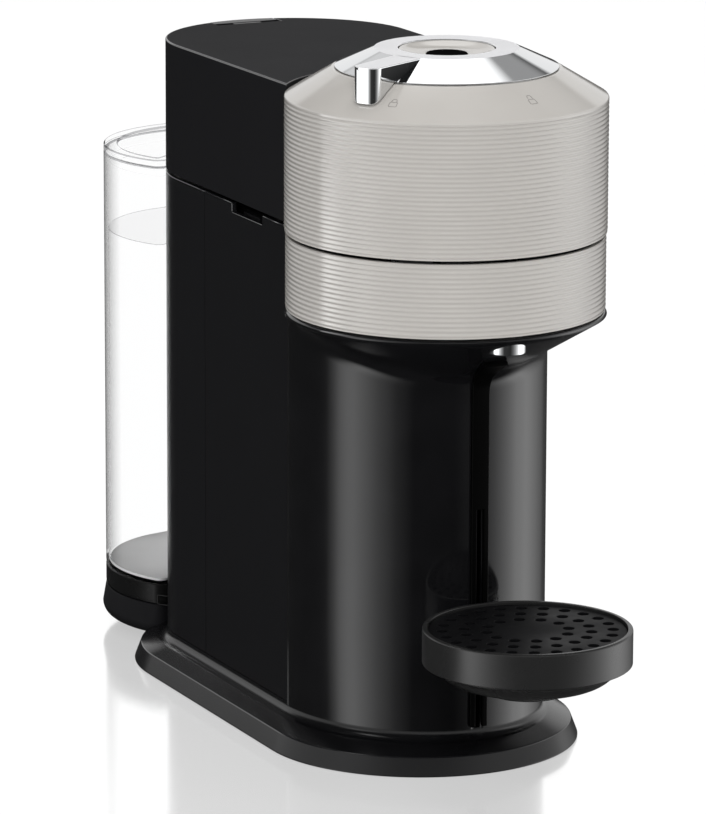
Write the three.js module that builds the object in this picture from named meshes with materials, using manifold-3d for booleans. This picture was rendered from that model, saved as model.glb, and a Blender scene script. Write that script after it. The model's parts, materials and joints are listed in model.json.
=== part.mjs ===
// Pod coffee machine with a hinged, centrifugal brewing head, a removable water tank,
// a used-capsule container and a cup support that slides on a rail.
//
// Millimetres, +Z up, the front of the machine towards -Y. Every piece is drawn in the
// head frame: its z axis is the axis on which the capsule spins, and z = 0 is the counter.
// The exported group is moved along Y so that the origin is the centre of the footprint.

import * as THREE from "three";
import { mergeVertices } from "three/addons/utils/BufferGeometryUtils.js";
import Module from "manifold-3d";

const wasm = await Module();
wasm.setup();

// ---------------------------------------------------------------- driving dimensions

// Clearances
const GAP = 0.3; // between pieces that seat on each other
const SEAM_GAP = 1.6; // between the head and the lower body
const PANEL_GAP = 0.4; // between neighbouring outer panels
const RUNNING_GAP = 0.4; // around parts that slide or turn
const TURNING_GAP = 0.8; // between the locking ring and the head frame

// Outer body: straight sides, a round rear end and an elliptical column at the front
const BODY_HALF_WIDTH = 57.6;
const BODY_REAR_CENTRE_Y = 163.4;
const BODY_WALL = 2.5;
const SEAM_Z = 235.5; // middle of the gap between the head and the lower body
const COLUMN_CENTRE_Y = 40;
const COLUMN_DEPTH = 72; // the ellipse's half-axis towards the front
const COLUMN_SEAM_Y = 36;
const REAR_SEAM_Y = 131.2;

// Base
const BASE_FRONT_CENTRE_Y = 25.3;
const BASE_SPREAD = 13.9; // how far the base reaches past the body's sides
const BASE_SLOPE_INSET = 3.2; // how far its upper edge lies inside its lower one
const BASE_BOTTOM_Z = 0.8;
const BASE_EDGE_Z = 8.7;
const BASE_COLLAR_TOP_Z = 17.4;
const BASE_FILLET = 5;
const BASE_WALL = 4.5;
const BASE_FLOOR_Z = 9; // upper face of the base's inner floor
const BASE_FLOOR_THICKNESS = 3;
const BOTTOM_PLATE_Z = 1.6;
const BOTTOM_PLATE_THICKNESS = 2.5;
const FOOT_RADIUS = 9;
const FOOT_SIDE_INSET = 21.5; // from the base's side to the foot's centre
const FOOT_FRONT_OFFSET = 13.3; // ahead of the base's front centre
const FOOT_REAR_OFFSET = 16.6; // behind the body's rear centre

// Head and lower drum
const DRUM_SPREAD = 13.4; // how far the upper drum reaches past the body's sides
const DRUM_WALL = 2.5;
const SHOULDER_Z = 296;
const SHOULDER_RISE = 13;
const COVER_STEP = 2; // the black cover's top above the drum's shoulder
const COVER_EDGE = 1.5; // rounding of the cover's upper edge
const LOWER_DRUM_STEP = 0.5; // the lower drum's radius inside the upper one's
const LOWER_DRUM_BOTTOM_Z = 202;
const LOWER_DRUM_FLANGE_WIDTH = 7.3;
const LOWER_DRUM_FLANGE_THICKNESS = 2;

// Flare under the lower drum
const FLARE_STEP = 0.7; // the flare's radius inside the lower drum's
const FLARE_SLOPE = 0.6;
const FLARE_FILLET = 9;

// Lever on top of the head
const LEVER_RADIUS = 50;
const LEVER_TOP_RADIUS = 31.7;
const LEVER_HEIGHT = 6.6;
const LEVER_BORE_RADIUS = 21.3;
const LEVER_THICKNESS = 3;
const LEVER_OVERHANG = 3.6; // the cone's edge outside its skirt
const LEVER_SKIRT_WALL = 2.4;
const LEVER_SKIRT_DEPTH = 9;
const LEVER_SKIRT_CLEARANCE = 0.6;
const LEVER_ANGLE = 210.3; // degrees from +X, locked
const LEVER_ARM_REACH = 64.8; // from the axis to the finger's outer face
const LEVER_ARM_ROOT_WIDTH = 14.6;
const LEVER_FINGER_WIDTH = 12.6;
const LEVER_FINGER_CORNER = 4.6;
const LEVER_FINGER_HEIGHT = 15.1;
const LEVER_DISC_INSET = 0.5; // the disc's edge below the lever's top
const LEVER_DISC_DEPTH = 2.4; // how far the dish falls towards the button
const LEVER_DISC_THICKNESS = 2.6;
const LEVER_DISC_BEND = 3; // width of the dish's rounded edge
const BUTTON_RADIUS = 9;
const BUTTON_THICKNESS = 3;
const BUTTON_PROUD = 0.2;
const BUTTON_EDGE = 0.8;
const BUTTON_TRAVEL = 1.5;
const BUTTON_STEM_RADIUS = 3;
const BUTTON_WELL_WALL = 2.4;
const BUTTON_WELL_DEPTH = 9;
const SPRING_RADIUS = 5.8;
const SPRING_WIRE_RADIUS = 0.4;
const SPRING_TURNS = 4;

// Locking ring in the head, and the ring it drops into
const LOCK_BAND_INSET = 9.1; // from the drum's inner wall to the band
const LOCK_BAND_WALL = 2.4;
const LOCK_BAND_LIFT = 3.7; // the band's lower edge above the seam
const LOCK_BAND_CHAMFER = 3;
const LOCK_FLANGE_THICKNESS = 2.5;
const LOCK_LUG_COUNT = 3;
const LOCK_LUG_ANGLE = 14; // degrees of arc that one lug covers
const LOCK_LUG_FIRST_ANGLE = 225;
const LOCK_LUG_REACH = 5.6;
const LOCK_LUG_HEIGHT = 10;
const LOCK_LUG_OVERLAP = 2.5; // how far a lug reaches up the band
const LOCK_SWING = 60; // degrees from locked to open
const CATCH_RING_WIDTH = 7.4;
const CATCH_RING_FLOOR = 1.4;
const CATCH_RING_DROP = 0.5; // the ring's top below the lower drum's
const CATCH_POCKET_SPARE = 4; // degrees either side of a lug

// Head frame, hinge and injector
const FRAME_DISC_THICKNESS = 3.5;
const FRAME_HUB_RADIUS = 16;
const FRAME_HUB_HEIGHT = 26;
const FRAME_PILLAR_FRONT_Y = 18;
const FRAME_PILLAR_REAR_Y = 46;
const BEAM_HALF_WIDTH = 15.4;
const BEAM_HEIGHT = 10;
const BEAM_DROP = 5; // the beam's top below the cover's
const HINGE_SETBACK = 10.5; // the pin ahead of the body's rearmost line
const HINGE_DROP = 6.5; // the pin below the cover's top
const HINGE_PIN_RADIUS = 1.6;
const KNUCKLE_RADIUS = 3.7;
const KNUCKLE_SWING_GAP = 1.6;
const BRACKET_THICKNESS = 7.6;
const BRACKET_SIDE_GAP = 0.6; // the bracket's half-width past the beam's
const BRACKET_KNUCKLE_HALF_WIDTH = 7;
const BRACKET_KNUCKLE_RADIUS = 5.5;
const BRACKET_TOP_DROP = 0.6;
const BRACKET_ROOT_DEPTH = 8;
const COVER_CUT_GAP = 2; // the cover's cut-out ahead of the bracket's knuckle
const NEEDLE_RADIUS = 1.5;
const NEEDLE_POINT = 4;
const NEEDLE_DROP = 3; // the tip below the capsule holder's rim
const NEEDLE_HEAD_RADIUS = 6;
const NEEDLE_HEAD_HEIGHT = 8;
const PIERCING_RADIUS = 30;
const PIERCING_LIFT = 2; // the plate above the capsule holder's rim
const PIERCING_THICKNESS = 3.5;
const PIERCING_BORE_GAP = 1.5;
const PIERCING_SHAFT_RADIUS = 8;
const PIERCING_SHAFT_HEIGHT = 15.5;
const PIERCING_PIN_COUNT = 12;
const PIERCING_PIN_RADIUS = 0.9;
const PIERCING_PIN_LENGTH = 1.6;
const PIERCING_PIN_INSET = 4;

// Brewing chamber and capsule drive
const CHAMBER_WALL = 2.3;
const CHAMBER_SIDE_GAP = 0.7; // to the lower drum's flange
const CHAMBER_RIM_DROP = 7.7; // the rim's underside below the lower drum's top
const CHAMBER_TROUGH_LIFT = 0.2;
const CHAMBER_WELL_GAP = 4.5; // round the capsule holder
const CHAMBER_WELL_SHOULDER = 3.5;
const CHAMBER_WELL_FLARE = 4;
const CHAMBER_BORE_RADIUS = 9;
const HOLDER_RADIUS = 31.5;
const HOLDER_WALL = 2.2;
const HOLDER_RIM_RADIUS = 35;
const HOLDER_RIM_DROP = 3.7; // the rim below the lower drum's top
const HOLDER_RIM_THICKNESS = 2.5;
const HOLDER_HEIGHT = 40.7;
const HOLDER_FLOOR_RADIUS = 24;
const HOLDER_FLOOR_THICKNESS = 2.7;
const HOLDER_FLOOR_CLEARANCE = 1.5;
const HOLDER_CONE_HEIGHT = 13;
const HOLDER_SHAFT_RADIUS = 6;
const SHAFT_END = 1; // the shaft past the pulley
const BEARING_RADIUS = 12;
const BEARING_HEIGHT = 6.4;
const PULLEY_RADIUS = 16;
const MOTOR_PULLEY_RADIUS = 8;
const PULLEY_FLANGE = 1.5;
const PULLEY_FLANGE_THICKNESS = 1.2;
const PULLEY_HEIGHT = 8;
const PULLEY_CLEARANCE = 1;
const BELT_THICKNESS = 1.5;
const MOTOR_Y = 34;
const MOTOR_RADIUS = 20;
const MOTOR_HEIGHT = 55;
const MOTOR_DROP = 2.8; // the motor's plate below the pulleys
const MOTOR_SHAFT_RADIUS = 2.5;
const MOTOR_SHAFT_DEPTH = 20; // length of shaft inside the motor
const DRIVE_BRACKET_THICKNESS = 2.4;
const DRIVE_BRACKET_HALF_WIDTH = 20;
const DRIVE_BRACKET_WALL_GAP = 2;
const BEARING_CUP_WALL = 2.7;
const BEARING_CUP_DROP = 1; // the cup's edge below the bearing's top
const OUTLET_INSET = 2.5; // the outlet's axis inside the chamber's radius
const OUTLET_RADIUS = 8.5;
const OUTLET_WALL = 2.4;
const OUTLET_LENGTH = 12;
const DRAIN_RADIUS = 3.5;
const DRAIN_OFFSET = 4;

// Chassis, capsule container and side panels
const PARTITION_THICKNESS = 2;
const PARTITION_DRUM_GAP = 1;
const PARTITION_SEAM_INSET = 2.2; // the rear partition ahead of the rear seam
const PARTITION_SIDE_GAP = 3.2;
const CHASSIS_FLOOR_THICKNESS = 2.5;
const CONTAINER_WALL = 2;
const CONTAINER_CORNER = 6;
const CONTAINER_DROP = 3.7; // the container's rim below the panels' top
const CONTAINER_TAB_GAP = 1.7;
const CONTAINER_TAB_MARGIN_FRONT = 12;
const CONTAINER_TAB_MARGIN_REAR = 4;
const NOTCH_SETBACK = 4; // the notch's front ahead of the front partition
const NOTCH_LENGTH = 33;
const NOTCH_DEPTH = 4.2;
const DECK_DROP = 2.3; // the deck below the shell's top
const DECK_THICKNESS = 3;

// Water path in the rear of the body
const WATER_ROW_SETBACK = 28.8; // the pump's and thermoblock's axes behind the rear seam
const PUMP_X = -24;
const PUMP_RADIUS = 21;
const PUMP_HEIGHT = 74;
const PUMP_NECK_RADIUS = 11.5;
const PUMP_NECK_HEIGHT = 22;
const THERMOBLOCK_X = 24;
const THERMOBLOCK_RADIUS = 23;
const THERMOBLOCK_HEIGHT = 88;
const THERMOBLOCK_FIN = 2.5;
const THERMOBLOCK_FIN_PITCH = 26;
const THERMOBLOCK_GROOVE = 7.5;
const FLOW_METER_RADIUS = 13;
const FLOW_METER_HEIGHT = 16;
const FLOW_METER_SETBACK = 36.6; // behind the body's rear centre
const BOARD_WIDTH = 84;
const BOARD_HEIGHT = 66;
const BOARD_THICKNESS = 1.6;
const BOARD_BOTTOM_Z = 132;

// Cup support
const SUPPORT_COLUMN_GAP = 5.3; // between the wall and the column front
const SUPPORT_RADIUS = 45.7;
const SUPPORT_RIM_Z = 76;
const SUPPORT_RIM_EDGE = 0.8;
const SUPPORT_WALL_HEIGHT = 15.6;
const SUPPORT_WALL = 2.3;
const SUPPORT_DISH_DEPTH = 10.4;
const SUPPORT_LEDGE_DEPTH = 4.4;
const SUPPORT_LEDGE_WIDTH = 1.4;
const SUPPORT_NECK_HALF_WIDTH = 9;
const SUPPORT_NECK_ROOT = 4;
const SUPPORT_TONGUE_HALF_WIDTH = 1.2;
const SUPPORT_TONGUE_HEIGHT = 12;
const SUPPORT_HOOK_HALF_WIDTH = 5;
const SUPPORT_HOOK_THICKNESS = 2.6;
const SUPPORT_TRAVEL_UP = 45;
const SLOT_SPARE = 1; // the rail's slot past the tongue's highest place
const GRID_THICKNESS = 2.8;
const GRID_HOLE_RADIUS = 2.5;
const GRID_BORDER = 6; // from the grid's edge to the outer ring of holes
const GRID_RING_PITCH = 9.5;
const GRID_RING_COUNT = 3;
const GRID_HOLE_PITCH = 9.7; // along a ring
const RAIL_HALF_WIDTH = 4;
const RAIL_PROUD = 2.5;
const RAIL_BOTTOM_Z = 19;
const RAIL_TOP_Z = 187;

// Water tank
const TANK_OVERSIZE = 1; // the tank's radius past the body's
const TANK_SETBACK = 76.8; // its centre behind the body's rear centre
const TANK_BODY_GAP = 4.5;
const TANK_HORN_RADIUS = 6;
const TANK_WALL = 2;
const TANK_FLOOR_THICKNESS = 2;
const TANK_FLOOR_Z = 32.4;
const TANK_TOP_Z = 231;
const TANK_LID_THICKNESS = 3.2;
const TANK_LID_RECESS = 1.2;
const TANK_LID_BORDER = 6.5;
const TANK_LID_SKIRT = 5;
const TANK_LID_SKIRT_WALL = 1.6;
const DOCK_BOTTOM_Z = 5;
const DOCK_TOP_Z = 20.2;
const DOCK_FLARE = 0.9;
const DOCK_BOTTOM_ROUND = 6;
const VALVE_SETBACK = 21.8; // behind the tank's centre
const VALVE_RADIUS = 6;
const VALVE_BODY_RADIUS = 9;
const VALVE_HEAD_HEIGHT = 3;
const NIPPLE_RADIUS = 2.5;
const NIPPLE_HEIGHT = 7;

// Facets around a full turn, and along the outlines
const FINE = 36;
const INNER = 24;
const MEDIUM = 16;
const SMALL = 12;
const HOLE = 6;
const ARC_STEPS = 14;

// ---------------------------------------------------------------- values worked out

const HEAD_BOTTOM_Z = SEAM_Z + SEAM_GAP / 2;
const LOWER_TOP_Z = SEAM_Z - SEAM_GAP / 2;
const BODY_TOP_Z = SHOULDER_Z + COVER_STEP;
const BODY_REAR_Y = BODY_REAR_CENTRE_Y + BODY_HALF_WIDTH;
const BASE_HALF_WIDTH = BODY_HALF_WIDTH + BASE_SPREAD;
const BASE_EDGE_HALF_WIDTH = BASE_HALF_WIDTH - BASE_SLOPE_INSET;
const PANEL_BOTTOM_Z = BASE_COLLAR_TOP_Z + GAP;
const COLUMN_FRONT_Y = COLUMN_CENTRE_Y - COLUMN_DEPTH;
const CHASSIS_FLOOR_Z = BASE_FLOOR_Z + GAP;
const CHASSIS_TOP_Z = CHASSIS_FLOOR_Z + CHASSIS_FLOOR_THICKNESS;

const DRUM_RADIUS = BODY_HALF_WIDTH + DRUM_SPREAD;
const LOWER_DRUM_RADIUS = DRUM_RADIUS - LOWER_DRUM_STEP;
const LOWER_DRUM_FLANGE_RADIUS = LOWER_DRUM_RADIUS - LOWER_DRUM_FLANGE_WIDTH;
const FLARE_RADIUS = LOWER_DRUM_RADIUS - FLARE_STEP;
const FLARE_TOP_Z = LOWER_DRUM_BOTTOM_Z - GAP;
const SHOULDER_TOP_Z = SHOULDER_Z + SHOULDER_RISE;
const SHOULDER_TOP_RADIUS = LEVER_RADIUS + GAP;
const LEVER_RIM_Z = SHOULDER_TOP_Z + GAP;
const LEVER_TOP_Z = LEVER_RIM_Z + LEVER_HEIGHT;
const LEVER_SKIRT_RADIUS = LEVER_RADIUS - LEVER_OVERHANG;
const LEVER_SKIRT_BOTTOM_Z = SHOULDER_TOP_Z - LEVER_SKIRT_DEPTH;
const DRUM_OPENING_RADIUS = LEVER_SKIRT_RADIUS + LEVER_SKIRT_CLEARANCE;
const DISC_TOP_Z = LEVER_TOP_Z - LEVER_DISC_INSET;
const DISC_LOW_Z = DISC_TOP_Z - LEVER_DISC_DEPTH;
const WELL_BOTTOM_Z = DISC_LOW_Z - LEVER_DISC_THICKNESS - BUTTON_WELL_DEPTH;
const WELL_FLOOR_Z = WELL_BOTTOM_Z + BUTTON_WELL_WALL;
const BUTTON_TOP_Z = DISC_LOW_Z + BUTTON_PROUD;
const BUTTON_BOTTOM_Z = BUTTON_TOP_Z - BUTTON_THICKNESS;

const LOCK_BAND_RADIUS = DRUM_RADIUS - DRUM_WALL - LOCK_BAND_INSET;
const LOCK_BAND_BOTTOM_Z = HEAD_BOTTOM_Z + LOCK_BAND_LIFT;
const FRAME_DISC_RADIUS = LOCK_BAND_RADIUS - LOCK_BAND_WALL - TURNING_GAP;
const FRAME_DISC_Z = LOCK_BAND_BOTTOM_Z;
const BEAM_TOP_Z = BODY_TOP_Z - BEAM_DROP;
const BEAM_BOTTOM_Z = BEAM_TOP_Z - BEAM_HEIGHT;
const HINGE_Y = BODY_REAR_Y - HINGE_SETBACK;
const HINGE_Z = BODY_TOP_Z - HINGE_DROP;
const BRACKET_FRONT_Y = BODY_REAR_Y - BRACKET_THICKNESS;
const BRACKET_HALF_WIDTH = BEAM_HALF_WIDTH + BRACKET_SIDE_GAP;

const HOLDER_RIM_Z = LOWER_TOP_Z - HOLDER_RIM_DROP;
const HOLDER_FLOOR_Z = HOLDER_RIM_Z - HOLDER_HEIGHT;
const NEEDLE_TIP_Z = HOLDER_RIM_Z - NEEDLE_DROP;
const PIERCING_Z = HOLDER_RIM_Z + PIERCING_LIFT;
const PIERCING_SHAFT_TOP_Z = PIERCING_Z + PIERCING_THICKNESS + PIERCING_SHAFT_HEIGHT;
const CHAMBER_RADIUS = LOWER_DRUM_FLANGE_RADIUS - CHAMBER_SIDE_GAP;
const CHAMBER_RIM_RADIUS = LOWER_DRUM_RADIUS - DRUM_WALL - RUNNING_GAP;
const CHAMBER_RIM_Z = LOWER_TOP_Z - CHAMBER_RIM_DROP;
const CHAMBER_TROUGH_Z = LOWER_DRUM_BOTTOM_Z + CHAMBER_TROUGH_LIFT;
const CHAMBER_WELL_Z = HOLDER_FLOOR_Z - HOLDER_FLOOR_CLEARANCE - CHAMBER_WALL;
const CHAMBER_WELL_RADIUS = HOLDER_RADIUS + CHAMBER_WELL_GAP;
const CHAMBER_SHOULDER_Z = CHAMBER_WELL_Z + CHAMBER_WELL_SHOULDER;
const BEARING_BOTTOM_Z = CHAMBER_WELL_Z - RUNNING_GAP - BEARING_HEIGHT;
const BRACKET_UPPER_Z = BEARING_BOTTOM_Z - GAP - DRIVE_BRACKET_THICKNESS;
const PULLEY_TOP_Z = BRACKET_UPPER_Z - PULLEY_CLEARANCE;
const PULLEY_BOTTOM_Z = PULLEY_TOP_Z - PULLEY_HEIGHT;
const BRACKET_LOWER_Z = PULLEY_BOTTOM_Z - MOTOR_DROP - DRIVE_BRACKET_THICKNESS;
const MOTOR_TOP_Z = BRACKET_LOWER_Z - GAP;
const OUTLET_Y = OUTLET_INSET - CHAMBER_RADIUS;
const OUTLET_BOTTOM_Z = LOWER_DRUM_BOTTOM_Z - OUTLET_LENGTH;

const FRONT_PARTITION_Y = DRUM_RADIUS + PARTITION_DRUM_GAP;
const REAR_PARTITION_Y = REAR_SEAM_Y - PARTITION_SEAM_INSET;
const PARTITION_HALF_WIDTH = BODY_HALF_WIDTH - BASE_WALL - PARTITION_SIDE_GAP;
const CONTAINER_TOP_Z = LOWER_TOP_Z - CONTAINER_DROP;
const NOTCH_FRONT_Y = FRONT_PARTITION_Y - NOTCH_SETBACK;
const NOTCH_REAR_Y = NOTCH_FRONT_Y + NOTCH_LENGTH;
const DECK_TOP_Z = LOWER_TOP_Z - DECK_DROP;
const WATER_ROW_Y = REAR_SEAM_Y + WATER_ROW_SETBACK;
const FLOW_METER_Y = BODY_REAR_CENTRE_Y + FLOW_METER_SETBACK;

const SUPPORT_CENTRE_Y = COLUMN_FRONT_Y - SUPPORT_COLUMN_GAP - SUPPORT_RADIUS;
const SUPPORT_LEDGE_Z = SUPPORT_RIM_Z - SUPPORT_LEDGE_DEPTH;
const SLOT_HALF_WIDTH = SUPPORT_TONGUE_HALF_WIDTH + RUNNING_GAP;
const SLOT_TOP_Z = SUPPORT_LEDGE_Z + SUPPORT_TRAVEL_UP + SLOT_SPARE;
const TANK_RADIUS = BODY_HALF_WIDTH + TANK_OVERSIZE;
const TANK_CENTRE_Y = BODY_REAR_CENTRE_Y + TANK_SETBACK;
const COLLAR_BOTTOM_Z = DOCK_TOP_Z + GAP;
const COLLAR_TOP_Z = TANK_FLOOR_Z - TANK_FLOOR_THICKNESS - GAP;
const VALVE_Y = TANK_CENTRE_Y + VALVE_SETBACK;

const FRONT_Y = SUPPORT_CENTRE_Y - SUPPORT_RADIUS;
const REAR_Y = TANK_CENTRE_Y + TANK_RADIUS + DOCK_FLARE;
const FRAME_SHIFT_Y = -(FRONT_Y + REAR_Y) / 2;

// Room that a cut takes beyond the faces it goes through
const BEYOND = 1;
const FAR = 90;

// ---------------------------------------------------------------- solids and outlines

/** Turns a closed geometry into a solid with its faces pointing out. */
function solid(geometry) {
  const bare = geometry.clone();
  bare.deleteAttribute("normal");
  bare.deleteAttribute("uv");
  const merged = mergeVertices(bare, 1e-4);
  const index = merged.index.array;
  const triangles = [];
  for (let i = 0; i < index.length; i += 3) {
    const [a, b, c] = [index[i], index[i + 1], index[i + 2]];
    if (a !== b && b !== c && c !== a) triangles.push([a, b, c]);
  }
  const vertProperties = new Float32Array(merged.attributes.position.array);
  const build = (list) =>
    new wasm.Manifold(new wasm.Mesh({ numProp: 3, vertProperties, triVerts: new Uint32Array(list.flat()) }));
  const made = build(triangles);
  return made.volume() > 0 ? made : build(triangles.map(([a, b, c]) => [a, c, b]));
}

/** The geometry of a solid, with flat shaded facets. */
function geometryOf(made) {
  const mesh = made.getMesh();
  const geometry = new THREE.BufferGeometry();
  geometry.setAttribute("position", new THREE.BufferAttribute(new Float32Array(mesh.vertProperties), 3));
  geometry.setIndex(new THREE.BufferAttribute(new Uint32Array(mesh.triVerts), 1));
  geometry.computeVertexNormals();
  return geometry;
}

/** Straight prism of a shape between two heights. */
function prism(shape, bottom, top, curveSegments = MEDIUM) {
  const settings = { depth: top - bottom, bevelEnabled: false, curveSegments };
  const geometry = new THREE.ExtrudeGeometry(shape, settings);
  geometry.translate(0, 0, bottom);
  return solid(geometry);
}

/** Solid of revolution about the z axis from [radius, z] corners. */
function revolve(corners, segments = FINE) {
  const points = corners.map(([radius, z]) => new THREE.Vector2(radius, z));
  const open = points[0].x !== 0 || points[points.length - 1].x !== 0;
  if (open) points.push(points[0].clone());
  const geometry = new THREE.LatheGeometry(points, segments);
  geometry.rotateX(Math.PI / 2);
  return solid(geometry);
}

/** Upright cylinder with its axis at x, y. */
function post(radius, bottom, top, x = 0, y = 0, segments = MEDIUM) {
  const made = revolve([[0, bottom], [radius, bottom], [radius, top], [0, top]], segments);
  return made.translate([x, y, 0]);
}

/** Upright tube between two radii. */
function tube(inner, outer, bottom, top, segments = MEDIUM) {
  return revolve([[inner, bottom], [outer, bottom], [outer, top], [inner, top]], segments);
}

/** Cylinder along x, centred at y, z. */
function rod(radius, x0, x1, y, z) {
  const geometry = new THREE.CylinderGeometry(radius, radius, x1 - x0, SMALL);
  geometry.rotateZ(Math.PI / 2);
  geometry.translate((x0 + x1) / 2, y, z);
  return solid(geometry);
}

/** Box between two corners. */
function block(x0, y0, z0, x1, y1, z1) {
  const geometry = new THREE.BoxGeometry(x1 - x0, y1 - y0, z1 - z0);
  geometry.translate((x0 + x1) / 2, (y0 + y1) / 2, (z0 + z1) / 2);
  return solid(geometry);
}

/** Box that is as wide to the left as to the right. */
function slab(half, y0, z0, y1, z1) {
  return block(-half, y0, z0, half, y1, z1);
}

/** Solid skinned over rings of points that all have the same count, with flat ends. */
function loft(rings) {
  const count = rings[0].length;
  const positions = rings.flat().flatMap((point) => [point.x, point.y, point.z]);
  const index = [];
  for (let ring = 0; ring + 1 < rings.length; ring++) {
    for (let i = 0; i < count; i++) {
      const a = ring * count + i;
      const b = ring * count + ((i + 1) % count);
      index.push(a, b, b + count, a, b + count, a + count);
    }
  }
  const cap = (ring, turned) => {
    const centre = ring.reduce((sum, point) => sum.add(point), new THREE.Vector3()).divideScalar(count);
    const start = rings.indexOf(ring) * count;
    const middle = positions.length / 3;
    positions.push(centre.x, centre.y, centre.z);
    for (let i = 0; i < count; i++) {
      const next = start + ((i + 1) % count);
      index.push(middle, turned ? next : start + i, turned ? start + i : next);
    }
  };
  cap(rings[0], true);
  cap(rings[rings.length - 1], false);
  const geometry = new THREE.BufferGeometry();
  geometry.setAttribute("position", new THREE.BufferAttribute(new Float32Array(positions), 3));
  geometry.setIndex(index);
  return solid(geometry);
}

/** Points of an arc of an ellipse, both ends included. */
function arc(cx, cy, rx, ry, from, to, steps) {
  const points = [];
  for (let i = 0; i <= steps; i++) {
    const angle = from + ((to - from) * i) / steps;
    points.push(new THREE.Vector2(cx + rx * Math.cos(angle), cy + ry * Math.sin(angle)));
  }
  return points;
}

/** Half circle at the rear of the body or the base. */
const rearArc = (half) => arc(0, BODY_REAR_CENTRE_Y, half, half, 0, Math.PI, ARC_STEPS);

/** Half ellipse round the column's front. */
const columnArc = (offset) => arc(0, COLUMN_CENTRE_Y, BODY_HALF_WIDTH + offset, COLUMN_DEPTH + offset,
  Math.PI, 2 * Math.PI, ARC_STEPS);

/** The body's outline: round rear end and elliptical front, grown by an offset. */
function bodyOutline(offset) {
  return [...rearArc(BODY_HALF_WIDTH + offset), ...columnArc(offset)];
}

/** The base's outline: a half circle at each end. */
function baseOutline(half) {
  const front = arc(0, BASE_FRONT_CENTRE_Y, half, half, Math.PI, 2 * Math.PI, ARC_STEPS);
  return [...rearArc(half), ...front];
}

/** Puts a flat outline at a height. */
function ringAt(outline, z) {
  return outline.map((point) => new THREE.Vector3(point.x, point.y, z));
}

/** Prism of the body's outline, limited to a stretch along y. */
function bodyPrism(offset, bottom, top, fromY, toY) {
  const whole = prism(new THREE.Shape(bodyOutline(offset)), bottom, top);
  return whole.intersect(slab(FAR, fromY, bottom - BEYOND, toY, top + BEYOND));
}

/** Wall that follows the body's outline, limited to a stretch along y. */
function bodyWall(bottom, top, fromY, toY) {
  const inner = prism(new THREE.Shape(bodyOutline(-BODY_WALL)), bottom - BEYOND, top + BEYOND);
  return bodyPrism(0, bottom, top, fromY, toY).subtract(inner);
}

/** Sector of a ring, from one angle to another in degrees. */
function sector(inner, outer, bottom, top, from, to) {
  const stepAngle = 12;
  const steps = Math.max(2, Math.ceil((to - from) / stepAngle));
  const [a, b] = [THREE.MathUtils.degToRad(from), THREE.MathUtils.degToRad(to)];
  const points = [...arc(0, 0, outer, outer, a, b, steps), ...arc(0, 0, inner, inner, b, a, steps)];
  return prism(new THREE.Shape(points), bottom, top);
}

/**
 * The tank's outline: its circle less the circle that stays clear of the body, with
 * rounded horns. Every curve moves inwards by the inset.
 */
function tankOutline(inset) {
  const outer = TANK_RADIUS - TANK_HORN_RADIUS;
  const inner = BODY_HALF_WIDTH + TANK_BODY_GAP + TANK_HORN_RADIUS;
  const along = (inner ** 2 - outer ** 2 + TANK_SETBACK ** 2) / (2 * TANK_SETBACK);
  const hornX = Math.sqrt(inner ** 2 - along ** 2);
  const hornY = BODY_REAR_CENTRE_Y + along;
  const onTank = Math.atan2(hornY - TANK_CENTRE_Y, hornX);
  const onBody = Math.atan2(along, hornX);
  const horn = TANK_HORN_RADIUS - inset;
  const rear = TANK_RADIUS - inset;
  const front = BODY_HALF_WIDTH + TANK_BODY_GAP + inset;
  const [rearSteps, frontSteps, hornSteps] = [22, 11, 3];
  return [
    ...arc(0, TANK_CENTRE_Y, rear, rear, onTank, Math.PI - onTank, rearSteps),
    ...arc(-hornX, hornY, horn, horn, Math.PI - onTank, 2 * Math.PI - onBody, hornSteps).slice(1),
    ...arc(0, BODY_REAR_CENTRE_Y, front, front, Math.PI - onBody, onBody, frontSteps).slice(1),
    ...arc(hornX, hornY, horn, horn, Math.PI + onBody, 2 * Math.PI + onTank, hornSteps).slice(1, -1),
  ];
}

/** Prism of the tank's outline. */
function tankPrism(inset, bottom, top) {
  return prism(new THREE.Shape(tankOutline(inset)), bottom, top);
}

/** Rectangle with rounded corners, centred on x = 0. */
function roundedRect(half, y0, y1, radius) {
  const shape = new THREE.Shape();
  shape.absarc(half - radius, y1 - radius, radius, 0, Math.PI / 2);
  shape.absarc(radius - half, y1 - radius, radius, Math.PI / 2, Math.PI);
  shape.absarc(radius - half, y0 + radius, radius, Math.PI, 1.5 * Math.PI);
  shape.absarc(half - radius, y0 + radius, radius, 1.5 * Math.PI, 2 * Math.PI);
  return shape;
}

// ---------------------------------------------------------------- materials

const colour = (hex, roughness, metalness = 0, extra = {}) =>
  new THREE.MeshStandardMaterial({ color: hex, roughness, metalness, ...extra });

const BEIGE = colour(0xbdb6ae, 0.5);
const BLACK_SATIN = colour(0x1b1b1c, 0.45);
const BLACK_GLOSS = colour(0x0d0d0e, 0.18);
const DARK_GREY = colour(0x4a4a4b, 0.5);
const CHROME = colour(0xe6e7ea, 0.08, 1);
const STEEL = colour(0xb4b6b8, 0.3, 1);
const ALUMINIUM = colour(0xa9abad, 0.45, 1);
const RUBBER = colour(0x202020, 0.85);
const CLEAR = colour(0xeef3f5, 0.05, 0, { transparent: true, opacity: 0.35 });
const WHITE_PLASTIC = colour(0xd8d8d4, 0.55);
const GREEN_BOARD = colour(0x1f5a3a, 0.6);

const machine = new THREE.Group();
machine.position.y = FRAME_SHIFT_Y;

function add(name, made, material) {
  const mesh = new THREE.Mesh(geometryOf(made), material);
  mesh.name = name;
  machine.add(mesh);
}

// ---------------------------------------------------------------- base

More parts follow.
